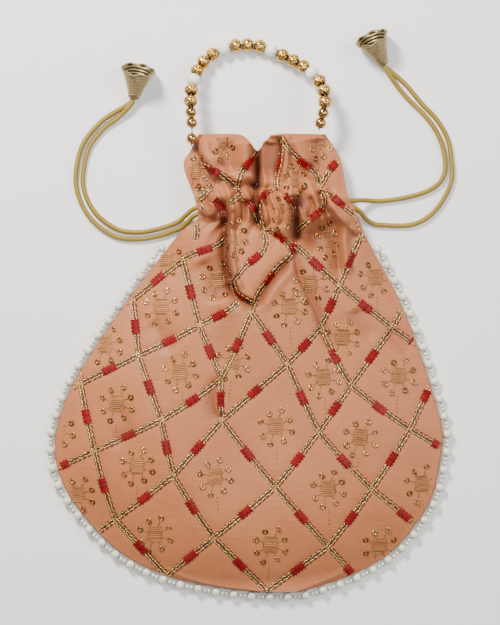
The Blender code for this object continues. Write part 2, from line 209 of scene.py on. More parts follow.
def linear(code):
    """An sRGB hex colour as linear RGBA."""
    parts = [int(code[i:i + 2], 16) / 255.0 for i in (1, 3, 5)]
    return (*[c / 12.92 if c <= 0.04045 else ((c + 0.055) / 1.055) ** 2.4 for c in parts], 1.0)


def add_node(material, kind, inputs=None, **settings):
    """A node with its settings, and its inputs as numbers, colours or other nodes' outputs."""
    tree = material.node_tree
    node = tree.nodes.new(kind)
    for name, value in settings.items():
        setattr(node, name, value)
    for key, value in (inputs or {}).items():
        if isinstance(value, bpy.types.NodeSocket):
            tree.links.new(value, node.inputs[key])
        else:
            node.inputs[key].default_value = value
    return node


def new_material(name, **numbers):
    """A Principled material, and its shader with the given numbers on its own sockets."""
    material = bpy.data.materials.new(name)
    material.use_nodes = True
    shader = material.node_tree.nodes["Principled BSDF"]
    for key, value in numbers.items():
        shader.inputs[key.replace("_", " ")].default_value = value
    return material, shader


def join(material, output, socket):
    material.node_tree.links.new(output, socket)


# Woven art silk, calendered: soft satin gloss, fine cross threads with a few thick ones, and painted
# shade: its colour is darkened towards brown along the creases, where their shade falls. Threads lie
# 0.25 mm apart in the real cloth and are drawn at 0.7 mm, since they wouldn't show otherwise.
silk, shader = new_material("art_silk_woven", Roughness=0.5, Sheen_Weight=0.08,
                            Sheen_Roughness=0.35, Specular_IOR_Level=0.3)
where = add_node(silk, "ShaderNodeTexCoord")
thread = add_node(silk, "ShaderNodeMapping", {"Vector": where.outputs["Object"],
                                              "Scale": (160.0, 1500.0, 160.0)})
slub = add_node(silk, "ShaderNodeTexNoise", {"Vector": thread.outputs[0], "Scale": 1.0,
                                             "Detail": 2.0, "Roughness": 0.6})
warp = add_node(silk, "ShaderNodeMapping", {"Vector": where.outputs["Object"],
                                            "Scale": (1400.0, 120.0, 160.0)})
warp_slub = add_node(silk, "ShaderNodeTexNoise", {"Vector": warp.outputs[0], "Scale": 1.0,
                                                  "Detail": 1.0})
patch = add_node(silk, "ShaderNodeTexNoise", {"Vector": where.outputs["Object"], "Scale": 26.0,
                                              "Detail": 3.0})
tint = add_node(silk, "ShaderNodeMix", {0: patch.outputs["Fac"], 6: linear("#9E5830"),
                                        7: linear("#B56F45")}, data_type="RGBA")
streak = add_node(silk, "ShaderNodeMix", {0: slub.outputs["Fac"], 6: linear("#8F4E28"),
                                          7: linear("#C5855A")}, data_type="RGBA")
blend = add_node(silk, "ShaderNodeMix", {0: 0.38, 6: tint.outputs[2], 7: streak.outputs[2]},
                 data_type="RGBA")
# painted shade: the fold attribute holds how much shade is painted along each crease, mixing the
# silk towards dark brown #5A2410
fold = add_node(silk, "ShaderNodeAttribute", attribute_name="fold")
silk_with_painted_crease_shade = add_node(silk, "ShaderNodeMix", {0: fold.outputs["Fac"], 6: blend.outputs[2],
                                          7: linear("#5A2410")}, data_type="RGBA")
join(silk, silk_with_painted_crease_shade.outputs[2], shader.inputs["Base Color"])
weave = add_node(silk, "ShaderNodeMath", {0: slub.outputs["Fac"], 1: warp_slub.outputs["Fac"]},
                 operation="ADD")
relief = add_node(silk, "ShaderNodeBump", {"Strength": 0.35, "Distance": 0.00025,
                                           "Height": weave.outputs[0]})
crinkle_at = add_node(silk, "ShaderNodeTexNoise", {"Vector": where.outputs["Object"],
                                                   "Scale": 75.0, "Detail": 3.0})
crinkle = add_node(silk, "ShaderNodeBump", {"Strength": 0.45, "Distance": 0.0012,
                                            "Height": crinkle_at.outputs["Fac"],
                                            "Normal": relief.outputs[0]})
join(silk, crinkle.outputs[0], shader.inputs["Normal"])

# Plain polyester-cotton lining: matt, a little greyer than the silk.
lining_cloth, shader = new_material("polycotton_plain", Roughness=0.85)
where = add_node(lining_cloth, "ShaderNodeTexCoord")
grain = add_node(lining_cloth, "ShaderNodeTexNoise", {"Vector": where.outputs["Object"],
                                                      "Scale": 900.0, "Detail": 2.0})
shade = add_node(lining_cloth, "ShaderNodeMix", {0: grain.outputs["Fac"], 6: linear("#A8795D"),
                                                 7: linear("#C39274")}, data_type="RGBA")
join(lining_cloth, shade.outputs[2], shader.inputs["Base Color"])
relief = add_node(lining_cloth, "ShaderNodeBump", {"Strength": 0.3, "Distance": 0.0002,
                                                   "Height": grain.outputs["Fac"]})
join(lining_cloth, relief.outputs[0], shader.inputs["Normal"])

# Zari, a gilt strip wound round a thread: bright metal with fine cross winding, whose colour is fine
# specks of pale gold and dark brown, partly the winding's own texture and partly painted highlight;
# some stitches tarnished darker than their neighbours.
zari, shader = new_material("zari_gilt_thread", Metallic=0.7, Roughness=0.3)
tone = add_node(zari, "ShaderNodeAttribute", attribute_name="tone")
where = add_node(zari, "ShaderNodeTexCoord")
wound = add_node(zari, "ShaderNodeTexNoise", {"Vector": where.outputs["Object"],
                                              "Scale": 2200.0, "Detail": 1.0})
tarnish = add_node(zari, "ShaderNodeMix", {0: tone.outputs["Fac"], 6: linear("#5E3A0C"),
                                           7: linear("#F2C868")}, data_type="RGBA")
# partly painted highlight: the pale specks #FFE9A8 stand in for glints on the winding
winding_and_painted_glint = add_node(zari, "ShaderNodeMix", {0: wound.outputs["Fac"], 6: linear("#4E2C0C"),
                                         7: linear("#FFE9A8")}, data_type="RGBA")
blend = add_node(zari, "ShaderNodeMix", {0: 0.35, 6: tarnish.outputs[2], 7: winding_and_painted_glint.outputs[2]},
                 data_type="RGBA")
join(zari, blend.outputs[2], shader.inputs["Base Color"])
relief = add_node(zari, "ShaderNodeBump", {"Strength": 0.5, "Distance": 0.0002,
                                           "Height": wound.outputs["Fac"]})
join(zari, relief.outputs[0], shader.inputs["Normal"])

# Rayon satin stitch: strong red with a lengthwise gloss on each thread.
red_rayon, shader = new_material("rayon_satin_stitch_red", Roughness=0.5,
                                 Specular_IOR_Level=0.25)
tone = add_node(red_rayon, "ShaderNodeAttribute", attribute_name="tone")
dye = add_node(red_rayon, "ShaderNodeMix", {0: tone.outputs["Fac"], 6: linear("#5A0005"),
                                            7: linear("#930008")}, data_type="RGBA")
join(red_rayon, dye.outputs[2], shader.inputs["Base Color"])

# Maroon filling thread that shows between the gilt rows.
maroon, shader = new_material("rayon_filling_maroon", Roughness=0.6)
where = add_node(maroon, "ShaderNodeTexCoord")
grain = add_node(maroon, "ShaderNodeTexNoise", {"Vector": where.outputs["Object"],
                                                "Scale": 800.0, "Detail": 1.0})
dye = add_node(maroon, "ShaderNodeMix", {0: grain.outputs["Fac"], 6: linear("#2A0C06"),
                                         7: linear("#5E1E10")}, data_type="RGBA")
join(maroon, dye.outputs[2], shader.inputs["Base Color"])

# Old-gold rayon of the small flowers: duller and browner than zari.
gold_thread, shader = new_material("rayon_thread_old_gold", Roughness=0.45, Metallic=0.45)
tone = add_node(gold_thread, "ShaderNodeAttribute", attribute_name="tone")
dye = add_node(gold_thread, "ShaderNodeMix", {0: tone.outputs["Fac"], 6: linear("#6E4220"),
                                              7: linear("#B88848")}, data_type="RGBA")
join(gold_thread, dye.outputs[2], shader.inputs["Base Color"])

# Stamped PET sequin with a vacuum gilt coat: mirror-like, each tilted its own way.
sequin_gilt, shader = new_material("sequin_gilt_pet", Metallic=1.0, Roughness=0.2)
tone = add_node(sequin_gilt, "ShaderNodeAttribute", attribute_name="tone")
coat = add_node(sequin_gilt, "ShaderNodeMix", {0: tone.outputs["Fac"], 6: linear("#6E4A22"),
                                               7: linear("#CFA466")}, data_type="RGBA")
join(sequin_gilt, coat.outputs[2], shader.inputs["Base Color"])

# Satin rattail cord, olive gold: a tight satin cover with fine diagonal ribs, 0.9 mm apart.
satin_cord, shader = new_material("rattail_satin_olive_gold", Roughness=0.36, Sheen_Weight=0.3,
                                  Sheen_Roughness=0.3)
laid = add_node(satin_cord, "ShaderNodeUVMap", uv_map="laid")
split = add_node(satin_cord, "ShaderNodeSeparateXYZ", {0: laid.outputs[0]})
pitch = add_node(satin_cord, "ShaderNodeMath", {0: split.outputs[0], 1: 1.0 / 0.9},
                 operation="MULTIPLY")
lean = add_node(satin_cord, "ShaderNodeMath", {0: pitch.outputs[0], 1: split.outputs[1]},
                operation="ADD")
turn = add_node(satin_cord, "ShaderNodeMath", {0: lean.outputs[0], 1: math.tau},
                operation="MULTIPLY")
rib = add_node(satin_cord, "ShaderNodeMath", {0: turn.outputs[0]}, operation="SINE")
rib_share = add_node(satin_cord, "ShaderNodeMath", {0: rib.outputs[0], 1: 0.5, 2: 0.5},
                     operation="MULTIPLY_ADD")
# painted shade and highlight: the rib grooves, low in the bump, are painted dark olive and the
# crests light olive
ribs_painted_shade_and_highlight = add_node(satin_cord, "ShaderNodeMix", {0: rib_share.outputs[0], 6: linear("#5E4A04"),
                                                7: linear("#A88A1E")}, data_type="RGBA")
where = add_node(satin_cord, "ShaderNodeTexCoord")
rubbed = add_node(satin_cord, "ShaderNodeTexNoise", {"Vector": where.outputs["Object"],
                                                     "Scale": 120.0, "Detail": 2.0})
worn = add_node(satin_cord, "ShaderNodeMix", {0: rubbed.outputs["Fac"], 6: linear("#6E5708"),
                                              7: linear("#A08624")}, data_type="RGBA")
blend = add_node(satin_cord, "ShaderNodeMix", {0: 0.45, 6: ribs_painted_shade_and_highlight.outputs[2],
                                               7: worn.outputs[2]}, data_type="RGBA")
join(satin_cord, blend.outputs[2], shader.inputs["Base Color"])
relief = add_node(satin_cord, "ShaderNodeBump", {"Strength": 0.5, "Distance": 0.0002,
                                                 "Height": rib_share.outputs[0]})
join(satin_cord, relief.outputs[0], shader.inputs["Normal"])

# Imitation pearl, lacquered ABS: milky body under a clear nacre coat, faintly green in shade.
nacre, shader = new_material("imitation_pearl_lacquer", Roughness=0.28, Coat_Weight=0.5,
                             Coat_Roughness=0.12, Subsurface_Weight=0.15,
                             Subsurface_Scale=0.001)
where = add_node(nacre, "ShaderNodeTexCoord")
cloudy = add_node(nacre, "ShaderNodeTexNoise", {"Vector": where.outputs["Object"],
                                                "Scale": 300.0, "Detail": 2.0})
body = add_node(nacre, "ShaderNodeMix", {0: cloudy.outputs["Fac"], 6: linear("#C9C8B2"),
                                         7: linear("#ECE9DA")}, data_type="RGBA")
join(nacre, body.outputs[2], shader.inputs["Base Color"])

# Nylon net and thread that hold the pearls: thin, olive grey, slightly shiny.
net_thread, shader = new_material("nylon_net_olive", Roughness=0.5)
where = add_node(net_thread, "ShaderNodeTexCoord")
grain = add_node(net_thread, "ShaderNodeTexNoise", {"Vector": where.outputs["Object"],
                                                    "Scale": 700.0, "Detail": 1.0})
dye = add_node(net_thread, "ShaderNodeMix", {0: grain.outputs["Fac"], 6: linear("#7A7355"),
                                             7: linear("#B5AC8C")}, data_type="RGBA")
join(net_thread, dye.outputs[2], shader.inputs["Base Color"])

# Gilt-plated cast bead: bright on its rubbed petals, brown lacquer left in the carving.
carved_gilt, shader = new_material("plated_bead_antique_gilt", Metallic=1.0, Roughness=0.24)
depth = add_node(carved_gilt, "ShaderNodeAttribute", attribute_name="relief")
where = add_node(carved_gilt, "ShaderNodeTexCoord")
mottle = add_node(carved_gilt, "ShaderNodeTexNoise", {"Vector": where.outputs["Object"],
                                                      "Scale": 500.0, "Detail": 3.0})
plating = add_node(carved_gilt, "ShaderNodeMix", {0: mottle.outputs["Fac"],
                                                  6: linear("#B9842F"), 7: linear("#F0CB7C")},
                   data_type="RGBA")
coat = add_node(carved_gilt, "ShaderNodeMix", {0: depth.outputs["Fac"], 6: linear("#4A2A0C"),
                                               7: plating.outputs[2]}, data_type="RGBA")
join(carved_gilt, coat.outputs[2], shader.inputs["Base Color"])
relief = add_node(carved_gilt, "ShaderNodeBump", {"Strength": 0.25, "Distance": 0.0002,
                                                  "Height": mottle.outputs["Fac"]})
join(carved_gilt, relief.outputs[0], shader.inputs["Normal"])

# Polished pale gilt of the smooth small beads.
pale_gilt, shader = new_material("plated_bead_pale_gilt", Metallic=1.0, Roughness=0.16)
where = add_node(pale_gilt, "ShaderNodeTexCoord")
mottle = add_node(pale_gilt, "ShaderNodeTexNoise", {"Vector": where.outputs["Object"],
                                                    "Scale": 350.0, "Detail": 2.0})
plating = add_node(pale_gilt, "ShaderNodeMix", {0: mottle.outputs["Fac"], 6: linear("#8E6430"),
                                                7: linear("#E0B878")}, data_type="RGBA")
join(pale_gilt, plating.outputs[2], shader.inputs["Base Color"])

# Ivory acrylic bead, moulded with seed-like grains, with painted shade: the hollows between the
# grains are painted greyer and darker.
ivory, shader = new_material("acrylic_bead_ivory", Roughness=0.34, Coat_Weight=0.2,
                             Subsurface_Weight=0.1, Subsurface_Scale=0.001)
depth = add_node(ivory, "ShaderNodeAttribute", attribute_name="relief")
# painted shade: low places between the grains mix towards grey #A8A48A
body = add_node(ivory, "ShaderNodeMix", {0: depth.outputs["Fac"], 6: linear("#A8A48A"),
                                         7: linear("#F1F0E6")}, data_type="RGBA")
join(ivory, body.outputs[2], shader.inputs["Base Color"])

# Antiqued stamped brass of the bells: dull yellow ribs, greenish black in the grooves.
antique_brass, shader = new_material("brass_stamped_antiqued", Metallic=0.9, Roughness=0.42)
depth = add_node(antique_brass, "ShaderNodeAttribute", attribute_name="relief")
where = add_node(antique_brass, "ShaderNodeTexCoord")
mottle = add_node(antique_brass, "ShaderNodeTexNoise", {"Vector": where.outputs["Object"],
                                                        "Scale": 320.0, "Detail": 4.0})
bright = add_node(antique_brass, "ShaderNodeMix", {0: mottle.outputs["Fac"],
                                                   6: linear("#6E5C38"), 7: linear("#B9A479")},
                  data_type="RGBA")
aged = add_node(antique_brass, "ShaderNodeMix", {0: depth.outputs["Fac"], 6: linear("#2C2A1C"),
                                                 7: bright.outputs[2]}, data_type="RGBA")
join(antique_brass, aged.outputs[2], shader.inputs["Base Color"])
relief = add_node(antique_brass, "ShaderNodeBump", {"Strength": 0.4, "Distance": 0.0003,
                                                    "Height": mottle.outputs["Fac"]})
join(antique_brass, relief.outputs[0], shader.inputs["Normal"])

# Matt paper backdrop.
paper, shader = new_material("backdrop_paper_white", Roughness=0.9)
shader.inputs["Base Color"].default_value = linear("#F4F3F1")


# ---------------------------------------------------------------- drawstrings

# The points that part.py gives each strand, from inside the casing to its bell.
STRANDS = {
    "drawstring_left_upper": (
        (-21.2, 58.9, 14.2), (-24.6, 60.5, 12.1), (-27.9, 61.1, 10.1), (-31.3, 60.0, 8.0),
        (-34.6, 57.2, 4.8), (-38.2, 54.2, 2.5), (-42.8, 51.9, 1.6), (-50.0, 49.6, 1.5),
        (-60.8, 47.7, 1.5), (-72.6, 49.3, 1.5), (-83.2, 56.6, 1.5), (-89.6, 66.2, 1.5),
        (-92.0, 77.6, 1.5), (-88.8, 93.6, 1.5), (-81.0, 104.4, 1.5), (-73.6, 110.2, 1.9),
        (-67.4, 115.8, 3.5), (-64.2, 120.1, 4.5),
    ),
    "drawstring_left_lower": (
        (-21.2, 57.9, 7.2), (-24.7, 57.9, 8.0), (-28.2, 57.6, 8.3), (-31.2, 56.0, 7.2),
        (-33.8, 53.2, 4.8), (-37.4, 50.3, 2.4), (-42.6, 48.2, 1.6), (-50.2, 45.6, 1.5),
        (-61.2, 43.9, 1.5), (-74.0, 45.4, 1.5), (-86.0, 53.6, 1.5), (-93.2, 64.6, 1.5),
        (-96.0, 77.8, 1.5), (-92.4, 95.4, 1.5), (-83.4, 107.4, 1.5), (-75.2, 113.6, 1.5),
        (-68.2, 117.6, 1.5), (-64.3, 120.7, 1.5),
    ),
    "drawstring_right_upper": (
        (48.0, 65.0, 14.0), (51.3, 65.0, 12.0), (54.4, 65.0, 10.1), (58.2, 65.1, 8.4),
        (63.6, 65.3, 4.8), (70.6, 65.0, 1.9), (79.0, 65.6, 1.5), (89.8, 67.6, 1.5),
        (99.4, 70.8, 1.5), (106.0, 75.8, 1.5), (108.6, 83.4, 1.5), (107.0, 95.4, 1.5),
        (102.4, 105.4, 1.5), (96.2, 113.4, 1.5), (88.6, 120.8, 1.5), (82.6, 127.8, 2.0),
        (78.4, 133.4, 3.8), (74.9, 139.0, 4.7),
    ),
    "drawstring_right_lower": (
        (48.0, 64.2, 7.6), (51.4, 62.5, 8.6), (54.8, 61.7, 8.9), (58.4, 60.9, 8.6),
        (61.8, 58.5, 6.8), (64.3, 55.4, 4.2), (67.6, 53.1, 2.2), (72.4, 51.8, 1.5),
        (89.0, 51.7, 1.5), (99.8, 56.6, 1.5), (107.6, 65.8, 1.5), (112.2, 76.8, 1.5),
        (112.0, 88.0, 1.5), (109.8, 99.6, 1.5), (103.8, 110.2, 1.5), (95.0, 119.6, 1.5),
        (87.4, 128.8, 1.5), (80.6, 135.0, 1.5), (74.9, 139.3, 1.5),
    ),
}
for node, route in STRANDS.items():
    line = even_points(route, 1.2)
    piece = tube("satin_" + node, line, CORD_R, 12, satin_cord)
    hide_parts(node)


# ---------------------------------------------------------------- the cloth's heights

LEFT_EDGE = (
    (-151.0, 5.0), (-148.2, -19.8), (-142.5, -44.6), (-131.0, -68.5), (-114.1, -86.9),
    (-90.5, -103.4), (-69.6, -107.3), (-49.8, -102.9), (-27.2, -91.9), (11.8, -65.5),
    (45.9, -39.1), (54.7, -28.5), (65.2, -29.7), (83.9, -36.0), (92.1, -32.5), (101.5, -27.5),
)
RIGHT_EDGE = (
    (-151.0, 28.0), (-148.2, 38.5), (-141.1, 58.3), (-129.5, 78.1), (-114.1, 91.9),
    (-98.2, 101.2), (-75.6, 106.2), (-63.0, 107.0), (-49.8, 104.0), (-19.5, 94.6),
    (12.4, 82.0), (42.1, 66.0), (58.6, 58.9), (67.4, 54.5), (81.7, 51.7), (91.0, 49.0),
    (101.5, 42.0),
)
LEFT_CURVE = smooth_curve([(x, y) for y, x in LEFT_EDGE])
RIGHT_CURVE = smooth_curve([(x, y) for y, x in RIGHT_EDGE])
NET_STEP = 0.5
NET_X = np.arange(-118.0, 118.1, NET_STEP)
NET_Y = np.arange(-158.0, 106.1, NET_STEP)
PLAN_X, PLAN_Y = np.meshgrid(NET_X, NET_Y)


def middle_and_half(y):
    left = np.interp(y, LEFT_CURVE[:, 1], LEFT_CURVE[:, 0])
    right = np.interp(y, RIGHT_CURVE[:, 1], RIGHT_CURVE[:, 0])
    return (left + right) / 2.0, (right - left) / 2.0


def across(x, y):
    """-1 at the cloth's left edge, 1 at its right edge."""
    middle, half = middle_and_half(y)
    return np.clip((x - middle) / half, -1.0, 1.0)


def neck(y):
    return fade(y, 22.0, 54.0)


def casing(y):
    return 1.0 - fade(np.abs(y - CASING_Y), 5.0, 10.5)


def seam_z(y):
    return 2.9 + 6.1 * neck(y)


def seam_open(y):
    return 0.15 + 2.4 * casing(y)


def filled(y):
    return 1.0 - (1.0 - np.clip((y - BOTTOM_Y) / 80.0, 0.0, 1.0)) ** 3


def notch(x, row):
    """How far the mouth is drawn down between the ruffle's two lobes."""
    return 9.0 * fade(row, CASING_Y + 10.0, MOUTH_Y) * np.exp(-(np.abs(x - 4.6) / 5.2) ** 1.7)


def front_plain(x, y):
    """The front's outer face before it is gathered and creased."""
    u = across(x, y)
    rise = (15.5 - 6.9 * neck(y)) * filled(y) * (1.0 - np.abs(u) ** 2.5)
    return seam_z(y) + seam_open(y) + rise + CLOTH


def back_plain(x, y):
    """The back's inner face, with room under it for its stitching."""
    u = across(x, y)
    edge = seam_z(y) - seam_open(y)
    power = 6.0 - 3.5 * neck(y)
    arch = np.minimum(1.0, 1.15 * (1.0 - np.abs(u) ** power))
    sag = (edge - CLOTH) * np.minimum(1.0, 1.3 * filled(y)) * arch
    wave = 1.0 + np.cos(math.pi * 5.0 * u)
    pleat = 1.2 * neck(y) * wave * np.maximum(0.0, 1.0 - u ** 4)
    return edge - sag + pleat + 0.55 * (1.0 - u ** 6)


def near_route(route, reach, step=1.0):
    """The part of the net near a route: where it is, distance to its left, and share along."""
    line = points_at(smooth_curve(route, 8), np.arange(0.0, 400.0, step))
    keep = np.concatenate(([True], np.linalg.norm(np.diff(line, axis=0), axis=1) > 1e-6))
    line = line[keep]
    low, high = line.min(axis=0) - reach, line.max(axis=0) + reach
    rows = slice(np.searchsorted(NET_Y, low[1]), np.searchsorted(NET_Y, high[1]))
    columns = slice(np.searchsorted(NET_X, low[0]), np.searchsorted(NET_X, high[0]))
    dx = PLAN_X[rows, columns, None] - line[:, 0]
    dy = PLAN_Y[rows, columns, None] - line[:, 1]
    away = dx ** 2 + dy ** 2
    nearest = away.argmin(axis=2)
    way = np.gradient(line, axis=0)
    way /= np.linalg.norm(way, axis=1)[:, None]
    pick = nearest[..., None]
    ox = np.take_along_axis(dx, pick, 2)[..., 0]
    oy = np.take_along_axis(dy, pick, 2)[..., 0]
    left = way[nearest, 0] * oy - way[nearest, 1] * ox
    distance = np.sqrt(ox ** 2 + oy ** 2) * np.sign(left)
    return (rows, columns), distance, nearest / (len(line) - 1.0)


def crease(heights, route, depth, left, right, left_lip=0.0, right_lip=0.0, step=0.0,
           sharp=1.5, ends=(0.2, 0.2), painted_shade_strength=0.0):
    """Press a fold into the cloth along a route.

    It is depth deep, and left and right are its half widths on each side of the way it runs.
    A lip is a raised roll beside it, and step is how far its left side lies over its right. It also
    paints shade into the silk's colour along the fold, as strong as its last argument says.
    """
    reach = 3.6 * max(left, right)
    place, distance, share = near_route(route, reach)
    width = np.where(distance > 0.0, left, right)
    q = np.abs(distance) / width
    strength = fade(share, 0.0, ends[0]) * (1.0 - fade(share, 1.0 - ends[1], 1.0))
    shape = -depth * np.exp(-q ** sharp)
    shape += left_lip * np.exp(-((distance - 1.9 * left) / left) ** 2)
    shape += right_lip * np.exp(-((distance + 1.9 * right) / right) ** 2)
    shape += 0.5 * step * np.tanh(distance / 0.7) * np.exp(-q ** 1.5 / 3.0)
    inside = np.exp(-(np.maximum(0.0, np.abs(distance) - 2.4 * width) / width) ** 2)
    heights[place] += shape * strength * inside
    # painted shade: darkens the silk's colour along the fold, where its shade falls
    painted_crease_shade[place] += painted_shade_strength * strength * np.exp(-(np.abs(distance) / (1.3 * width)) ** 1.6)


